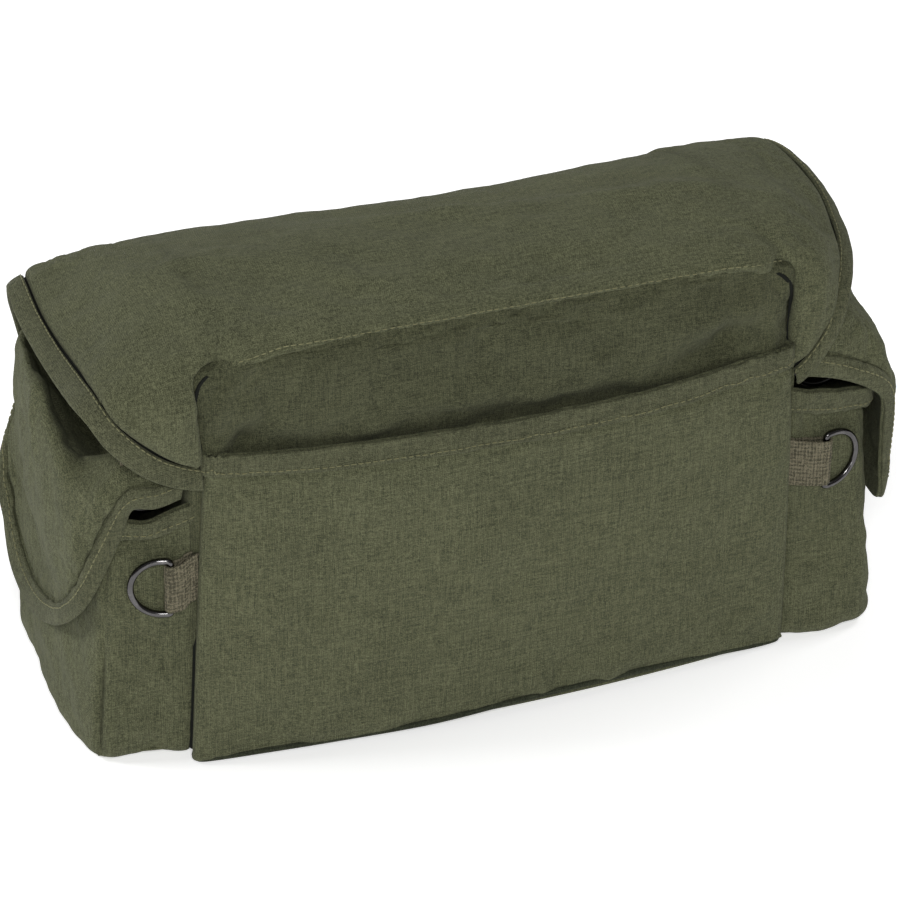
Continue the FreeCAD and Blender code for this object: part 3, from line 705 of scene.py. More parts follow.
def lid():
    cols = list(PLUS_X_COLS)
    for x, hz, low in ((128, 217.5, -0.4), (105, 220.5, -0.6), (70, 223, -1.2), (25, 223.2, -4.2),
        (-25, 222.8, -5.6), (-70, 223, -3.4), (-105, 222.3, -2.4), (-128, 218.8, -1.8)):
        cols.append(mid_rows(x, hz, low))
    cols += [[(-x, y, z) for x, y, z in c] for c in MINUS_X_COLS[::-1]]
    net = np.array(cols).transpose(1, 0, 2)
    P = surface(net, 150, 230, 0.004, 0.003)
    ease = np.clip((70 - P[:, :, 1]) / 10, 0, 1) * np.clip((186 - np.abs(P[:, :, 0])) / 8, 0, 1)
    for _ in range(70):
        P[:, 1:-1] += (0.5 * (P[:, :-2] + P[:, 2:]) - P[:, 1:-1]) * 0.5 * ease[:, 1:-1, None]
    N = -normals(P)
    lc0 = lengths(P, 1)
    far = np.minimum(lc0, lc0[:, -1:] - lc0)
    rear = np.clip((P[..., 1] - 58) / 8, 0, 1) * (np.abs(P[..., 0]) < 140)
    P = settle(P, np.clip(np.maximum(1 - (far - 4) / 10, rear), 0.02, 1), 1.2, 0.008, 2.2, 6, flip=True)
    quiet = 1 - 0.85 * np.clip((0 - P[..., 1]) / 35, 0, 1)
    d = (rough(P, 1.7, 90, 21) + rough(P, 1.2, 36, 22)) * quiet + rough(P, 0.35, 15, 23, 2)
    d += fold_along(P, (45, -22, 224), (-160, 28, 222), 9, 2.6, 40)
    d += fold_along(P, (60, -42, 218), (-150, 4, 222), 15, -2.2, 40)
    d += fold_along(P, (110, 30, 226), (60, -10, 226), 16, 0.9, 30) + bump_at(P, (-90, 10, 224),
        (40, 22, 30), 1.0)
    d += fold_along(P, (-146, 74, 214), (-168, 40, 212), 7, -1.4, 14) + fold_along(P, (150, 79, 200),
        (176, 60, 210), 9, 1.0, 16)
    d += bump_at(P, (143, 74, 213), (7, 8, 5), -2.4) + bump_at(P, (-140, 74, 214), (7, 8, 5), -2.6)
    d += bump_at(P, (160, 78, 190), (13, 12, 16), 1.4) + bump_at(P, (-156, 78, 186), (8, 12, 18), 1.2)
    near_seam = np.exp(-((P[..., 2] - 221) / 6) ** 2) * (P[..., 1] > 68)
    d = d * (1 - 0.8 * near_seam)
    lr, lc = lengths(P, 0), lengths(P, 1)
    edge = np.minimum(np.minimum(lc, lc[:, -1:] - lc), lr[-1:] - lr)
    wing = np.abs(P[..., 0]) > 146
    edge = np.where(wing, np.minimum(edge, lr), edge)
    calm = np.clip(edge / 14, 0, 1)
    tuck = -3.0 * np.exp(-(edge / 1.9) ** 2) + 0.7 * np.exp(-((edge - 7) / 4.5) ** 2)
    tuck += 0.4 * np.sin(P[..., 0] / 1.5 + rough(P, 2.5, 30,
        24)) * np.exp(-((P[..., 2] - 222) / 4.0) ** 2) * (P[..., 1] > 62)
    P = P + N * (d * calm + tuck)[..., None]
    body, top = cloth("main_flap_canvas", P, 2.4, CANVAS, flip=True)
    bend_lid(body)
    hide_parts("flap_panel", "flap_wing_right", "flap_wing_left")
    return top


LID_TOP = lid()


def rim_band(name, pairs, side, seed):
    rows = []
    for f in (0.10 if side > 0 else 0.16, 0.40, 0.68, 1.0):
        rows.append([np.array(g) * (1 - f) + np.array(l) * f for g, l in pairs])
    net = np.array(rows, float)
    net[..., 0] *= side
    P = surface(net, 16, 190, 0.09, 0.004)
    N = normals(P) * -side
    along = np.linspace(0, 1, P.shape[0])[:, None]
    puff = 1.1 * np.sin(np.pi * along) - 0.9 * np.exp(-(along / 0.12) ** 2) + (0.0 if side > 0 else 0.9)
    d = rough(P, 0.35, 22, seed) + puff
    P = P + N * d[..., None]
    band, top = cloth(name, P, 2.6, CANVAS_HEM, flip=side > 0, round_edge=1.0)
    bend_lid(band)
    rows = from_edge(top, [2.6, 3.0, 3.4], 0)
    bend_lid(stitches(name + "_stitches", rows[1], normals(rows)[1] * -side, seed=seed))
    # Painted shade: a near-black strip sunk in the groove between the band and the flap stands for the groove's
    # shadow.
    g = np.array([[np.array(a) * (1 - f) + np.array(b) * f for a, b in pairs] for f in (-0.16, 0.10, 0.42)],
        float)
    g[..., 0] *= side
    T = surface(g, 5, 190, 0.09, 0.004)
    T = T - normals(T) * -side * (1.2 if side > 0 else 0.5)
    groove, _ = cloth(name + "_groove_painted_shade", T, 0.8, PAINTED_SHADE, flip=side > 0)
    bend_lid(groove)
    return band


right_band = rim_band("main_flap_edge_band_right", PLUS_X_RIM, 1, 31)
rim_band("main_flap_edge_band_left", MINUS_X_RIM, -1, 32)
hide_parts("flap_side_bands", "flap_wing_bands")


def front_band():
    xs = np.linspace(172.5, -172.5, 13)
    rows = []
    for z, y in ((100.5, -118.6), (98, -121.6), (94, -122.7), (89, -122.8), (84.5, -121.8)):
        rows.append([(x, y, z + (abs(x) / 176) ** 6 * 2.5) for x in xs])
    P = surface(rows, 15, 150, 0.09, 0.004)
    N = -normals(P)
    P = P + N * (rough(P, 0.4, 25, 41) + 0.6)[..., None]
    band, top = cloth("main_flap_front_band", P, 2.8, CANVAS_HEM, flip=True)
    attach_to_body(band, "main_flap")
    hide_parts("flap_front_band")
    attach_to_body(seam_on("front_band_stitches", top, 6.1, end=0, flip=True, seed=42), "main_flap")


front_band()


def hinge_stitches():
    """The line of stitches along the top of the back, which joins the flap to it."""
    xs = np.linspace(138, -141, 160)
    src = BACK_TOP.reshape(-1, 3)
    lid_pts = LID_TOP.reshape(-1, 3)
    pts = []
    for x in xs:
        z = 221.5 - 6.5 * max(0.0, (abs(x + 3) - 106) / 36) ** 1.6
        both = []
        for cloud in (src, lid_pts):
            dd = np.abs(cloud[:, 0] - x) + np.abs(cloud[:, 2] - z) * 1.2 + (cloud[:, 1] < 66) * 50
            both.append(cloud[np.argsort(dd)[:6]].mean(0))
        y = max(b[1] for b in both)
        pts.append((x, y, z))
    pts = np.array(pts)
    k = np.ones(9) / 9
    pts[:, 1] = np.convolve(np.pad(pts[:, 1], 4, mode="edge"), k, mode="valid")
    nrm = np.tile(np.array([0, 0.86, 0.5]), (len(pts), 1))
    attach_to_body(stitches("hinge_stitches", pts, nrm, pitch=3.6, lift=0.35, seed=51), "bag")


hinge_stitches()


# ------------------------------------------------------------ end pockets
# The pockets' outlines from above, at the foot and at the mouth, from the rear round to the front.
POCKET_FOOT = {
    1: [(147.0, 60), (148.8, 66.6), (151.6, 69.2), (171, 65.2), (183, 63), (192.5, 62.3), (197.5, 58),
        (201.5, 40), (203.5, 15), (203.8, -12), (202.0, -42), (199, -60), (193, -67), (180, -69),
        (165, -70.5), (149.5, -71.5)],
    -1: [(146.8, 64), (149.0, 71.0), (153, 73.6), (171, 75.4), (183, 76.0), (191.8, 74.2), (197.6, 66),
        (200.5, 40), (203.5, 15), (203.5, -12), (202, -42), (199, -60), (193, -67), (180, -69),
        (165, -70.5), (149.5, -71.5)],
}
POCKET_MOUTH = {
    1: [(147.0, 59), (148.8, 66.2), (151.6, 68.8), (168, 65.6), (179, 63.4), (186.5, 60.8), (190.5, 56),
        (194, 40), (196, 15), (196, -12), (195, -42), (192, -60), (186, -66), (176, -68.5), (163, -70.3),
        (149.5, -71.5)],
    -1: [(146.8, 61), (149.0, 67.5), (153, 70.2), (170, 67.4), (181, 65.2), (189, 63), (193.5, 58),
        (195, 40), (196, 15), (196, -12), (195, -42), (192, -60), (186, -66), (176, -68.5), (163, -70.3),
        (149.5, -71.5)],
}


def end_pocket(name, side):
    rows = []
    for z, inset, up in ((1.0, 5.5, 0.0), (3.4, 1.6, 0.0), (9, 0.0, 0.0), (24, -0.4, 0.10),
        (45, -0.6, 0.40), (62, -0.4, 0.72), (80, 0.0, 0.95), (100, 0.0, 1.0), (118, 0.0, 1.0),
        (129, 0.0, 1.0), (137, 0.0, 1.0)):
        row = []
        for (x0, y0), (x1, y1) in zip(POCKET_FOOT[side], POCKET_MOUTH[side]):
            x, y = x0 + (x1 - x0) * up, y0 + (y1 - y0) * up
            reach = max(0.0, (x - 150) / 50)
            x -= inset * min(1, reach * 1.5)
            y -= math.copysign(1, y) * inset * 0.5 * min(1.0, abs(y) / 50)
            zz = z
            lip = max(0.0, (z - 100) / 37)
            if y > 30:
                zz += lip * (7.6 * max(0, 1 - reach * 3.6) - 0.9) if side > 0 else lip * (7.5 * max(0,
                    1 - reach * 1.3) - 3.0 * reach)
                y += (1.2 if side > 0 else 2.2) * max(0.0, (z - 118) / 19) * min(1.0, (x - 148) / 8)
                x += side * side_lean(side * x, zz)
            row.append((x, y, zz))
        rows.append(row)
    net = np.array(rows, float)
    net[..., 0] *= side
    P = surface(net, 90, 250, 0.008, 0.003)
    N = normals(P) * side
    cx = P[..., 0] * side
    d = rough(P, 1.2, 42, 61 + side) + rough(P, 0.55, 18, 63 + side, 2)
    if side > 0:
        d += fold_along(P, (195.0, 62.5, 2), (187.0, 61, 124), 1.5, -3.6, 6) + fold_along(P, (190, 62, 4),
            (183, 62, 118), 3.0, 0.9, 6)
        d += bump_at(P, (166, 68, 40), (9, 12, 34), -0.9) + fold_along(P, (196, 58, 20), (204, 20, 50), 9,
            1.2)
        d += fold_along(P, (203, 30, 30), (202, -20, 12), 8, -1.2) + fold_along(P, (158, 68, 10),
            (180, 64, 26), 7, 0.6)
        d += fold_along(P, (153, 68, 117), (181, 64, 121), 5, -1.8, 10)
    else:
        d += fold_along(P, (-199, 66, 6), (-192, 62, 118), 2.0, -1.4, 6)
        d += fold_along(P, (-199, 64, 30), (-180, 71, 10), 4.5, 1.9, 10) + fold_along(P, (-198, 68, 21),
            (-186, 71, 5), 5, -1.9, 10)
        d += fold_along(P, (-153, 73, 55), (-172, 72, 62), 8, -0.7) + bump_at(P, (-172, 70, 50),
            (13, 14, 26), 0.9)
        d += fold_along(P, (-152, 70, 122), (-186, 64, 116), 5, -1.6, 10)
    root = np.clip((cx - 151) / 6, 0, 1)
    down = lengths(P, 0)[-1:] - lengths(P, 0)
    width = 9.8 if side > 0 else 13.0
    below = np.clip((down - width) / 1.6, 0, 1) * np.exp(-(np.maximum(down - width, 0) / 11) ** 2)
    d -= (3.4 if side > 0 else 2.6) * below * np.clip((P[..., 1] - 40) / 15, 0, 1)
    gap = np.clip(np.linalg.norm(P - np.array([side * 176, 66, 99]), axis=2) / 22, 0.25, 1)
    P = P + N * (d * root * gap)[..., None]
    body, _ = cloth(f"end_pocket_canvas_{name}", P, 2.2, CANVAS, flip=side < 0)
    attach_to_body(body, "bag")
    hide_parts(f"end_pocket_panel_{name}", f"end_pocket_gusset_{name}")
    hem(f"end_pocket_top_hem_{name}", P, width, 1.7, 2.2, width - 1.8, on_bag, [f"end_pocket_hem_{name}"],
        flip=side < 0, crown=0.5, seed=65 + side)
    return P


POCKETS = {side: end_pocket(name, side) for name, side in SIDES}


def pocket_floor(name, side):
    """The end pocket's floor."""
    xs = np.linspace(149, 198, 9)
    rows = []
    for v in np.linspace(-1, 1, 9):
        row = []
        for x in xs:
            half = 68.5 - (x - 149) / 50 * 7
            row.append((x - 2.2 * (abs(v) ** 3) * ((x - 149) / 50), v * half,
                3.2 + rough_one(x, v * half, 2.0)))
        rows.append(row)
    net = np.array(rows)
    net[..., 0] *= side
    P = surface(net, 24, 20)
    ob, _ = cloth(f"end_pocket_floor_{name}", P, 2.0, CANVAS, flip=side < 0)
    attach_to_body(ob, "bag")


def rough_one(x, y, s):
    return 0.6 * noise.noise(Vector((x / 20 + s, y / 20, s)))


# ------------------------------------------------------------ end flaps
FLAP_COLS = {
    1: [
        [(150, 71, 187), (150.6, 71, 183), (151, 71, 179), (151.5, 70.5, 173), (152, 70, 167),
            (152.6, 70, 161), (153.1, 70, 155), (153.6, 69.6, 150.5), (154, 69.4, 146)],
        [(150, 70, 187), (154.5, 68, 182), (158, 66.5, 176), (160.5, 66, 170), (162.5, 67, 165),
            (164, 69.3, 160), (165, 70.8, 154.5), (165.8, 69.5, 149), (166, 68.3, 142.8)],
        [(150, 68, 187), (156, 64.5, 181), (161, 61.5, 174), (165.5, 60.5, 168), (170, 62, 164),
            (175, 66.5, 160.5), (178, 70.5, 154), (178.2, 68.8, 148.5), (177.2, 66.5, 143.2)],
        [(150, 64, 187), (158, 60, 181), (165, 57, 173), (172, 56.5, 166), (179, 59.5, 162.5),
            (185.5, 65, 156), (188.5, 67.5, 146), (187, 66.3, 137.5), (182, 65, 128)],
        [(150, 58, 187), (159, 53, 180), (167, 48, 169), (175, 46.5, 161), (184, 50, 159.5),
            (192.5, 58, 152), (197, 64, 136), (196, 63.4, 121), (189.8, 63.5, 108)],
        [(150, 50, 187), (159, 45, 179), (168, 38, 162), (177, 35, 152), (188, 39, 155), (198, 48, 151),
            (203.5, 57.5, 124), (202.0, 56.5, 104), (197.8, 57.5, 86)],
        [(150, 42, 187), (159, 38, 178), (168, 30, 157), (178, 26, 145), (190, 29, 152), (200.5, 37, 155),
            (206.5, 45, 118), (203.8, 42, 90), (203.3, 41, 67.5)],
        [(150, 24, 187), (160, 20, 177), (170, 13, 154), (180, 9, 145), (192, 11, 155), (202, 17, 162),
            (208, 21, 118), (202.6, 17, 76), (205.5, 16, 52)],
        [(150, 7, 187), (162, 3, 177), (173, -4, 158), (184, -7, 153), (194, -5, 163), (202, 1, 167),
            (206.0, -1, 118), (201.8, -8, 67), (206.5, -8, 44)],
        [(150, -12, 187), (165, -15, 176), (177, -22, 158), (187, -25, 155), (195, -21, 165),
            (201.3, -14, 167), (203.2, -13, 126), (201.6, -25, 64), (206.5, -26, 42)],
        [(150, -28, 187), (168, -31, 176), (180, -37, 162), (189, -39, 160), (195.5, -35, 169),
            (200.2, -30, 166), (200.0, -29, 128), (201.2, -40, 70), (207, -42, 48)],
        [(150, -44, 187), (170, -46, 178), (182, -50, 168), (190, -51, 165), (195.5, -48, 168),
            (198.0, -46, 158), (198.0, -46, 134), (200.2, -50, 88), (206.5, -53, 63)],
        [(150, -58, 187), (166, -59, 182), (178, -60.5, 175), (185, -61, 171), (190, -61, 165),
            (193.2, -61, 155), (194.6, -61, 143), (199, -61.5, 114), (206, -61, 93)],
        [(150, -68, 187), (162, -69, 182), (169, -70.5, 175), (173, -71.5, 170), (176, -72.8, 165),
            (178.5, -73.3, 160), (179, -73, 155), (178.8, -72, 151), (178, -71.5, 147)],
        [(150, -72, 187), (155, -73, 183), (158, -74, 178), (159.5, -74.5, 173), (160.5, -74.5, 168),
            (161, -74.3, 163), (161.3, -74, 158), (161.6, -73.5, 153), (162, -73, 148)],
    ],
    -1: [
        [(150, 71, 187), (151, 72.5, 178), (152, 73, 169), (153, 73, 161), (153.5, 73, 156),
            (154, 72.5, 151.5)],
        [(150, 70, 187), (162, 72, 177), (167, 74, 167), (169, 74, 157), (170, 73.8, 152),
            (170.5, 73, 147)],
        [(150, 68, 187), (168, 70, 176.5), (178, 73, 165), (183.5, 74, 151), (185, 74, 145),
            (185.5, 73, 139.5)],
        [(150, 64, 187), (172, 66, 176.5), (185.5, 68.5, 166), (194.5, 70.5, 149), (197.5, 71, 137),
            (196, 71, 128)],
        [(150, 58, 187), (176, 60, 176.5), (188.5, 62, 166), (199.0, 65, 141), (203.0, 67, 121),
            (198.5, 68, 110)],
        [(150, 50, 187), (178, 52, 176.5), (191, 54, 165), (202.5, 60, 134), (204.8, 64, 104),
            (200.0, 66.0, 86)],
        [(150, 42, 187), (179, 43, 176.5), (193, 44, 164), (204.5, 50, 128), (206.3, 58, 90),
            (202.5, 62.0, 64)],
        [(150, 24, 187), (180, 24, 177), (198, 22, 161), (208, 24, 120), (209, 30, 82), (206.5, 33, 57)],
        [(150, 5, 187), (181, 3, 177), (199, 0, 160), (208, 0, 120), (209, 0, 82), (207.5, 0, 56)],
        [(150, -24, 187), (180, -24, 177), (198, -24, 160), (208, -26, 120), (209, -30, 82),
            (206.5, -33, 58)],
        [(150, -42, 187), (179, -43, 177), (196, -44, 161), (207, -50, 124), (208, -56, 90),
            (203, -58, 68)],
        [(150, -50, 187), (178, -52, 177), (194, -54, 163), (205, -60, 134), (206, -64, 108),
            (199, -66, 90)],
        [(150, -58, 187), (176, -60, 177), (191, -63, 165), (202, -66, 142), (203, -67.5, 124),
            (197, -68, 112)],
        [(150, -66, 187), (168, -69, 177), (178, -73, 166), (183, -74, 152), (184, -73.5, 146),
            (184, -72.5, 141)],
        [(150, -72, 187), (159, -73, 179), (163, -74.5, 169), (165, -74.5, 159), (166, -74, 153),
            (166.5, -73.5, 148)],
    ],
}


def end_flap(name, side):
    net = np.array(FLAP_COLS[side], float).transpose(1, 0, 2)
    net[..., 0] *= side
    P = surface(net, 100, 210, 0.010, 0.004)
    lr = lengths(P, 0)
    from_hem = lr[-1:] - lr
    lc = lengths(P, 1)
    hold = np.clip(np.maximum.reduce([1 - (from_hem - 12) / 10, 1 - lr / 10,
        1 - np.minimum(lc, lc[:, -1:] - lc) / 8]), 0.02, 1)
    P = settle(P, np.maximum(hold, 0.12), 0.4, 0.02, 1.6, 5, flip=side > 0)
    N = normals(P) * (-side)
    d = rough(P, 1.3, 38, 71 + side) + rough(P, 0.5, 17, 73 + side, 2)
    if side > 0:
        d += fold_along(P, (203, -4, 172), (204, 24, 128), 3.4, 1.9, 16) + fold_along(P, (186, 64, 158),
            (201, 52, 122), 7, 0.9, 14)
        d += fold_along(P, (196, 40, 150), (206, 34, 112), 8, -0.9, 14)
    else:
        d += fold_along(P, (-186, 67, 170), (-206, 62, 124), 7, 1.6, 14) + fold_along(P, (-178, 70, 160),
            (-196, 69, 140), 6, -1.6, 12)
    calm = np.clip((from_hem - 9) / 16, 0.08, 1)
    groove = -1.2 * np.exp(-((from_hem - 14.2) / 1.8) ** 2)
    P = P + N * (d * calm + groove)[..., None]
    body, _ = cloth(f"end_flap_canvas_{name}", P, 2.0, CANVAS, flip=side > 0)

    def swing(ob):
        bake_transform(ob)

    swing(body)
    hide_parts(f"end_flap_yoke_{name}", f"end_flap_panel_{name}")
    hem(f"end_flap_edge_band_{name}", P, 12.5, 1.4, 2.0, 10.8, swing, [f"end_flap_band_{name}"],
        flip=side > 0, crown=0.55, seed=75 + side)
    return P


FLAPS = {side: end_flap(name, side) for name, side in SIDES}
for name, side in SIDES:
    pocket_floor(name, side)


# ------------------------------------------------------------ the rest of the box
def dark_line(name, points, wide, sink, height=0.8):
    """A narrow near-black strip lying in a slit, painted shade for the slit's shadow: points on its line, how
    far it lies under the cloth at each.
    """
    path = weights(len(points), np.linspace(0, 1, 90)) @ np.array(points, float)
    deep = weights(len(points), np.linspace(0, 1, 90)) @ np.array(sink, float)
    for i, q in enumerate(path):
        best = [t.reshape(-1, 3) for t in (LID_TOP, BACK_TOP)]
        near = np.concatenate([b[(np.abs(b[:, 0] - q[0]) < 2.2) & (np.abs(b[:, 2] - q[2]) < 2.2) & (b[:,
            1] > 60)] for b in best])
        if len(near):
            path[i, 1] = np.percentile(near[:, 1], 85)
    path[:, 1] = np.convolve(np.pad(path[:, 1], 6, mode="edge"), np.ones(13) / 13, "valid") - deep
    t = np.gradient(path, axis=0)
    across = np.cross(t, (0, 1, 0))
    across /= np.linalg.norm(across, axis=1)[:, None] + 1e-9
    taper = np.clip(np.minimum(np.linspace(0, 14, 90), np.linspace(14, 0, 90)), 0.25, 1)
    P = path[None] + across[None] * (np.linspace(-0.5, 0.5, 7)[:, None, None] * wide * taper[None, :, None])
    flip = normals(P)[3, 45, 1] < 0
    ob, _ = cloth(name, P, height, PAINTED_SHADE, flip=bool(flip))
    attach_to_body(ob, "bag")


dark_line("slit_painted_shade_right", [(145.4, 78, 172), (147.8, 78, 184), (148.4, 78, 197), (147.2, 78, 206.0),
    (144.2, 78, 210.8), (141.0, 78, 212.4)], 2.0, [0.1, 0.1, 0.1, 0.1, 0.3, 0.6])
dark_line("slit_painted_shade_left", [(-143.4, 78, 171), (-144.0, 78, 183), (-143.6, 78, 197), (-141.8, 78, 206.0),
    (-138.4, 78, 210.4), (-134.5, 78, 212.4)], 2.0, [0.1, 0.1, 0.1, 0.1, 0.3, 0.6])


def side_gap(name, side):
    """A near-black strip painted as the shadow line between the slip pocket's side and the end pocket."""
    rows = []
    for x, y in ((147.4, 72.0), (148.5, 70.8), (149.4, 68.6)) if side > 0 else ((147.2, 74.4),
        (148.6, 74.0), (149.8, 72.6)):
        rows.append([((x + side_lean(side * x, z) * side) * side, y, z) for z in np.linspace(3, 160, 24)])
    P = surface(rows, 6, 120, 0.1, 0.01)
    ob, _ = cloth(name, P, 0.7, PAINTED_SHADE, flip=bool(normals(P)[3, 60, 1] < 0))
    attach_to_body(ob, "bag")


side_gap("side_gap_painted_shade_right", 1)
side_gap("side_gap_painted_shade_left", -1)


def wall(name, net, nr, nc, node_name, seed, thick=2.2, amount=0.8):
    P = surface(net, nr, nc)
    N = normals(P)
    lr, lc = lengths(P, 0), lengths(P, 1)
    edge = np.minimum(np.minimum(lr, lr[-1:] - lr), np.minimum(lc, lc[:, -1:] - lc))
    P = P + N * (rough(P, amount, 45, seed) * np.clip(edge / 20, 0, 1))[..., None]
    ob, _ = cloth(name, P, thick, CANVAS)
    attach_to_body(ob, "bag")
    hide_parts(node_name)


def plane_net(corners, n=5):
    """A net over the four corners a, b (first row) and c, d (last row)."""
    a, b, c, d = (np.array(p, float) for p in corners)
    t = np.linspace(0, 1, n)[:, None, None]
    s = np.linspace(0, 1, n)[None, :, None]
    return (a * (1 - s) + b * s) * (1 - t) + (c * (1 - s) + d * s) * t


def box_walls():
    wall("front_panel_canvas", plane_net(((149, -71.3, 1.5), (-149, -71.3, 1.5), (149, -71.3, 188),
        (-149, -71.3, 188))), 50, 70, "front_panel", 81)
    for name, side in SIDES:
        x = side * 148.8
        wall(f"end_panel_canvas_{name}", plane_net(((x, 71, 1.5), (x, -71, 1.5), (x, 71, 208),
            (x, -71, 188))), 50, 40, f"end_panel_{name}", 82 + side)
    bottom = plane_net(((149.5, 75, 1.3), (-149.5, 75, 1.3), (149.5, -72, 1.3), (-149.5, -72, 1.3)), 7)
    bottom[0, :, 1] += 10 * (1 - (bottom[0, :, 0] / 150) ** 2)
    wall("bottom_canvas", bottom, 40, 80, "bottom_panel", 85, amount=0.0, thick=2.4)


box_walls()


def binding():
    """The seam that stands out a little along the foot of the slip pocket."""
    xs = [148.6, 146, 138, 120, 90, 40, 0, -30, -70, -110, -132, -144, -147.5]
    ys = [76, 79.2, 80.8, 82.6, 85.3, 88.6, 88.3, 87.0, 84.8, 81.8, 80.0, 78.2, 75.5]
    rows = []
    for z, off in ((0.8, -2.8), (0.9, -1.0), (1.5, -0.3), (2.1, -0.5), (2.6, -1.8)):
        rows.append([(x + side_lean(x, z), y + off, z + foot(x)) for x, y in zip(xs, ys)])
    P = surface(rows, 8, 150, 0.1, 0.004)
    ob, _ = cloth("base_seam_binding", P, 1.5, CANVAS_DARK, flip=True)
    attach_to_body(ob, "bag")


binding()


# ------------------------------------------------------------ front pockets
def front_pocket(name, side):
    plan = [(7, -73), (6.4, -85), (6.2, -98), (7, -107.5), (12, -111.5), (30, -113.2), (75, -114.2),
        (120, -113.2), (138, -111.5), (144.5, -107.5), (146.3, -98), (146.6, -85), (146.5, -73)]
    rows = []
    for z, inset in ((2.2, 5.5), (4.2, 1.6), (12, 0), (40, -0.8), (80, -0.6), (110, 0.2), (128, 0.7),
        (140, 0.8)):
        row = []
        for x, y in plan:
            cxx = 76.5
            xx = x - math.copysign(inset * min(1, abs(x - cxx) / 55), x - cxx)
            row.append((xx, y + inset * (y < -90), z))
        rows.append(row)
    net = np.array(rows, float)
    net[..., 0] *= side
    P = surface(net, 60, 150, 0.008, 0.004)
    N = normals(P) * -side
    d = rough(P, 0.9, 46, 91 + side) + rough(P, 0.2, 14, 93 + side, 2)
    d += fold_along(P, (side * 9, -109, 8), (side * 9, -109, 135), 2.0, -0.8, 6) + fold_along(P,
        (side * 144, -108, 8), (side * 144, -108, 135), 2.0, -0.8, 6)
    root = np.clip((-73.5 - P[..., 1]) / 8, 0, 1)
    P = P + N * (d * root)[..., None]
    body, _ = cloth(f"front_pocket_canvas_{name}", P, 2.2, CANVAS, flip=side > 0)
    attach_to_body(body, "bag")
    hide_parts(f"front_pocket_panel_{name}", f"front_pocket_gusset_{name}")
    hem(f"front_pocket_top_hem_{name}", P, 12, 1.4, 1.6, 10.4, on_bag, ["front_pocket_hems"], flip=side > 0,
        crown=0.3, seed=95 + side)
    floor_net = plane_net(((side * 12, -74, 4.0), (side * 141, -74, 4.0), (side * 12, -108, 4.0),
        (side * 141, -108, 4.0)))
    Pf = surface(floor_net, 14, 40)
    ob, _ = cloth(f"front_pocket_floor_{name}", Pf, 2.0, CANVAS, flip=side > 0)
    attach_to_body(ob, "bag")


for name, side in SIDES:
    front_pocket(name, side)


# ------------------------------------------------------------ webbing
def webbing(name, profile, across, body, node_name, n=60, seed=1):
    """A strap swept along profile, a line of points; across is the direction of its width."""
    prof = weights(len(profile), np.linspace(0, 1, n)) @ np.array(profile, float)
    a = np.array(across, float)
    t = spread(14, 0.04) - 0.5
    P = prof[:, None, :] + a[None, None, :] * (t * WEB_WIDTH)[None, :, None]
    P = P + normals(P) * rough(P, 0.25, 9, seed)[..., None]
    ob, _ = cloth(name, P, WEB_THICK, WEBBING)
    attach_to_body(ob, body)
    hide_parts(node_name)


def round_bar(turn):
    """The strap's path round a ring's or hook's bar; turn is 1 or -1, for the way that it goes round."""
    return [(0, turn * BAR_RADIUS * math.sin(a), -BAR_RADIUS * math.cos(a)) for a in np.radians(range(90,
        -91, -30))]


def placed(loop, place, side):
    x, y, z = place
    return [((x + px) * side, y + py, z + pz) for px, py, pz in loop]


def closure_stitches(name, side):
    """The stitched box that holds a closure's strap on the flap."""
    x, y, z = HOOK_BAR
    low, high, half = z + 24, z + 46, 11
    box = [("box", k, [(u, zz) for u in np.linspace(-half, half, 20)]) for k, zz in enumerate((low, high))]
    box += [("side", k, [(u, zz) for zz in np.linspace(low, high, 20)]) for k,
        u in enumerate((-half, half))]
    for kind, k, run in box:
        line = np.array([((x + u) * side, y - 2.0 + 0.04 * (zz - low), zz) for u, zz in run])
        seed = (120 if kind == "box" else 124) + k
        sewn = stitches(f"closure_{kind}_stitches_{name}_{k}", line, np.tile([0, -1, 0], (20, 1)), 3.0, 2.2,
            lift=0.35, seed=seed)
        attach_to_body(sewn, "main_flap")


WEB_WIDTH, WEB_THICK = 25.4, 1.3
BAR_RADIUS = 2.45
LOWER_RING = {1: (160.5, 72.0, 98.7), -1: (168.0, 72.0, 98.7)}
UPPER_RING, FRONT_RING, HOOK_BAR = (167.0, 59.8, 155.0), (70.0, -115.2, 28.0), (70.0, -123.3, 77.0)
UPPER_LOOP = [(0, -1.2, 22.5), (0, -1.6, 9)] + round_bar(-1) + [(0, 1.6, 9), (0, 1.2, 21)]
FRONT_LOOP = [(0, 1.2, 22), (0, 1.6, 9)] + round_bar(1) + [(0, -1.6, 9), (0, 0.1, 22), (0, 1.0, 25)]
HOOK_LOOP = [(0, 1.9, 48), (0, 1.2, 30), (0, 1.0, 22), (0, 1.4, 9)] + round_bar(1)
HOOK_LOOP += [(0, -2.0, 9), (0, -1.6, 22), (0, -0.9, 40), (0, -0.4, 50)]


def lower_loop(side):
    x, y, z = LOWER_RING[side]
    r = BAR_RADIUS
    loop = [(147.2, y + 1.7, z + 5.2), (152, y + 1.9, z + 3.4), (x - 5, y + r, z + 0.8)]
    loop += [(x + r * math.sin(a), y + r * math.cos(a), z) for a in np.radians(range(0, 181, 30))]
    return loop + [(x - 5, y - r + 0.2, z + 0.8), (153, y - 1.6, z + 3.2), (148.2, y - 1.4, z + 5)]


for name, side in SIDES:
    webbing(f"lower_ring_webbing_{name}", placed(lower_loop(side), (0, 0, 0), side), (0, 0, 1), "bag",
        "lower_ring_tabs", seed=101 + side)
    webbing(f"upper_ring_webbing_{name}", placed(UPPER_LOOP, UPPER_RING, side), (1, 0, 0), "bag",
        "upper_ring_tabs", seed=104 + side)
    webbing(f"front_ring_webbing_{name}", placed(FRONT_LOOP, FRONT_RING, side), (1, 0, 0), "bag",
        "front_ring_tabs", seed=107 + side)
    webbing(f"closure_webbing_{name}", placed(HOOK_LOOP, HOOK_BAR, side), (1, 0, 0), "main_flap",
        "closure_tabs", n=90, seed=110 + side)
    closure_stitches(name, side)


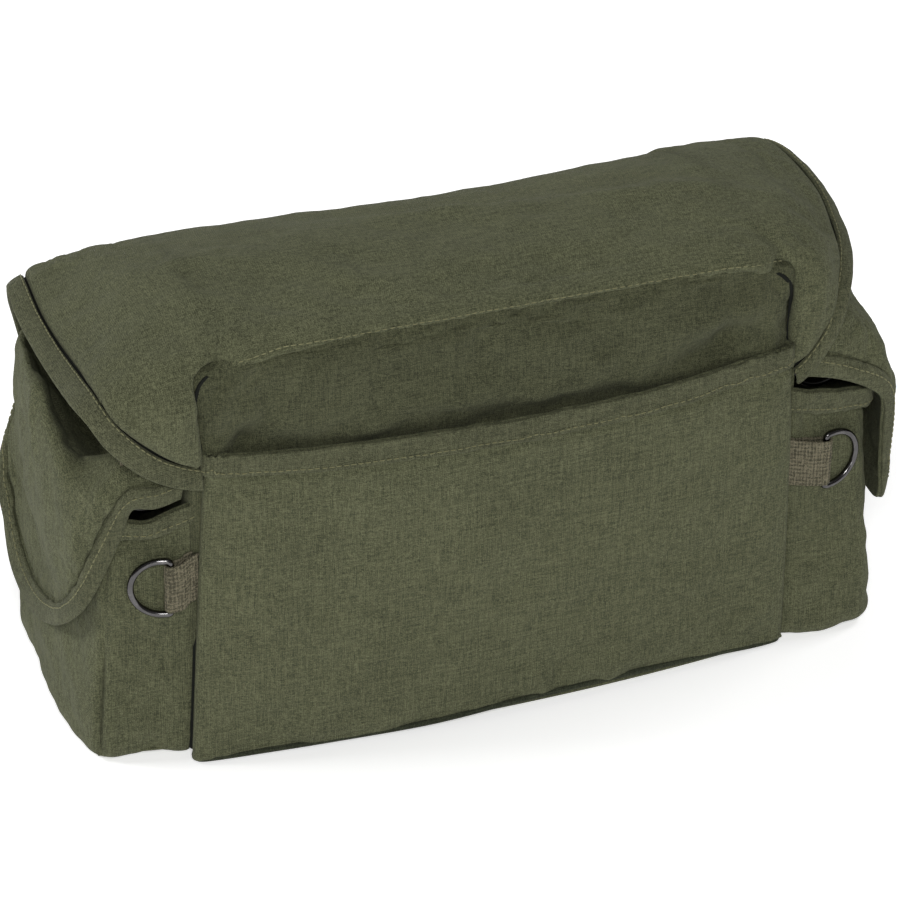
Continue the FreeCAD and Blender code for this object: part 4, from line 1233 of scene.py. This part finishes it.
# ------------------------------------------------------------ padded insert
def pad(name, lo, hi, node_name, seed):
    """A foam wall in a cloth cover: crowned faces, sides that pull in at the seams, rounded corners."""
    lo, hi = np.array(lo, float), np.array(hi, float)
    size = hi - lo
    n = [max(4, int(s / 5)) for s in size]
    thin = int(np.argmin(size))
    others = [a for a in range(3) if a != thin]
    verts, index, faces = [], {}, []

    def vid(i, j, k):
        key = (i, j, k)
        if key not in index:
            u = np.array([i / n[0], j / n[1], k / n[2]])
            c = 2 * u - 1
            p = lo + u * size
            far = min((1 - abs(c[a])) * size[a] / 2 for a in others)
            crown = 1 - math.exp(-far / 7.0)
            p[thin] = (lo + hi)[thin] / 2 + c[thin] * size[thin] / 2 * (0.62 + 0.38 * crown)
            for a in others:
                if abs(c[a]) > 0.99:
                    p[a] -= np.sign(c[a]) * 0.8 * (abs(c[thin])) ** 2
            wob = noise.noise(Vector(p / 28) + Vector((seed, 0, 0)))
            p[thin] += 0.5 * wob * crown
            index[key] = len(verts)
            verts.append(p)
        return index[key]

    for axis in range(3):
        a, b = [q for q in range(3) if q != axis]
        for end in (0, n[axis]):
            for i in range(n[a]):
                for j in range(n[b]):
                    quad = []
                    for di, dj in ((0, 0), (1, 0), (1, 1), (0, 1)):
                        key = [0, 0, 0]
                        key[axis], key[a], key[b] = end, i + di, j + dj
                        quad.append(vid(*key))
                    inward = (axis == 1) != (end == 0)
                    faces.append(quad[::-1] if inward else quad)
    V = np.array(verts)
    ob = mesh_object(name, V, faces, INSERT, V[:, others])
    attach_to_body(ob, "bag")
    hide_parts(node_name)


def insert():
    for node_name in ("insert_floor", "insert_back_wall", "insert_front_wall", "insert_divider_left",
        "insert_divider_middle", "insert_divider_right"):
        lo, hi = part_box(node_name)
        pad(node_name + "_pad", np.array(lo) / MM + 0.25, np.array(hi) / MM - 0.25, node_name,
            hash_of(node_name))
    lo, hi = (np.array(v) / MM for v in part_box("insert_end_walls"))
    for name, side in SIDES:
        a, b = lo.copy(), hi.copy()
        if side > 0:
            a[0] = hi[0] - 6
        else:
            b[0] = lo[0] + 6
        pad(f"insert_end_wall_{name}_pad", a + 0.25, b - 0.25, "insert_end_walls", 7 + side)


def hash_of(text):
    return sum(ord(c) for c in text) % 50


insert()


# ------------------------------------------------------------ fastening tapes
def tape(name, face, beyond, low, off, side, body, node_name):
    """A strip of fastening tape, off millimetres from the points of face that lie past beyond."""
    points = face.reshape(-1, 3)
    rows = []
    for z in np.linspace(low, 100, 6):
        row = []
        for y in np.linspace(24, -24, 9):
            far = np.abs(points[:, 1] - y) + np.abs(points[:, 2] - z) + (points[:, 0] * side < beyond) * 99
            row.append((points[np.argsort(far)[:4]].mean(0)[0] + side * off, y, z))
        rows.append(row)
    ob, _ = cloth(name, surface(rows, 16, 30, 0.03, 0.02), 1.2, TAPE, flip=side > 0)
    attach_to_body(ob, body)
    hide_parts(node_name)


def tapes():
    for name, side in SIDES:
        tape(f"loop_tape_{name}", POCKETS[side], 185, 77, 1.7, side, "bag", "loop_tapes")
        tape(f"hook_tape_{name}", FLAPS[side], 0, 76, -1.9, side, f"end_flap_{name}",
            f"end_flap_hook_tape_{name}")


tapes()

# ------------------------------------------------------------ hardware kept from the CAD
for n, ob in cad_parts.items():
    if n.startswith(("lower_ring_", "upper_ring_", "front_ring_")) and not n.endswith("tabs"):
        mat = RING
    elif n.startswith(("spring_hook", "hook_gate", "gate_pin")):
        mat = HOOK
    elif n == "base_board":
        mat = BOARD
    else:
        continue
    ob.data.materials.clear()
    ob.data.materials.append(mat)
    ob.data.polygons.foreach_set("use_smooth", [True] * len(ob.data.polygons))
    if n != "base_board":
        mod = ob.modifiers.new("normals", "WEIGHTED_NORMAL")
        mod.keep_sharp = True

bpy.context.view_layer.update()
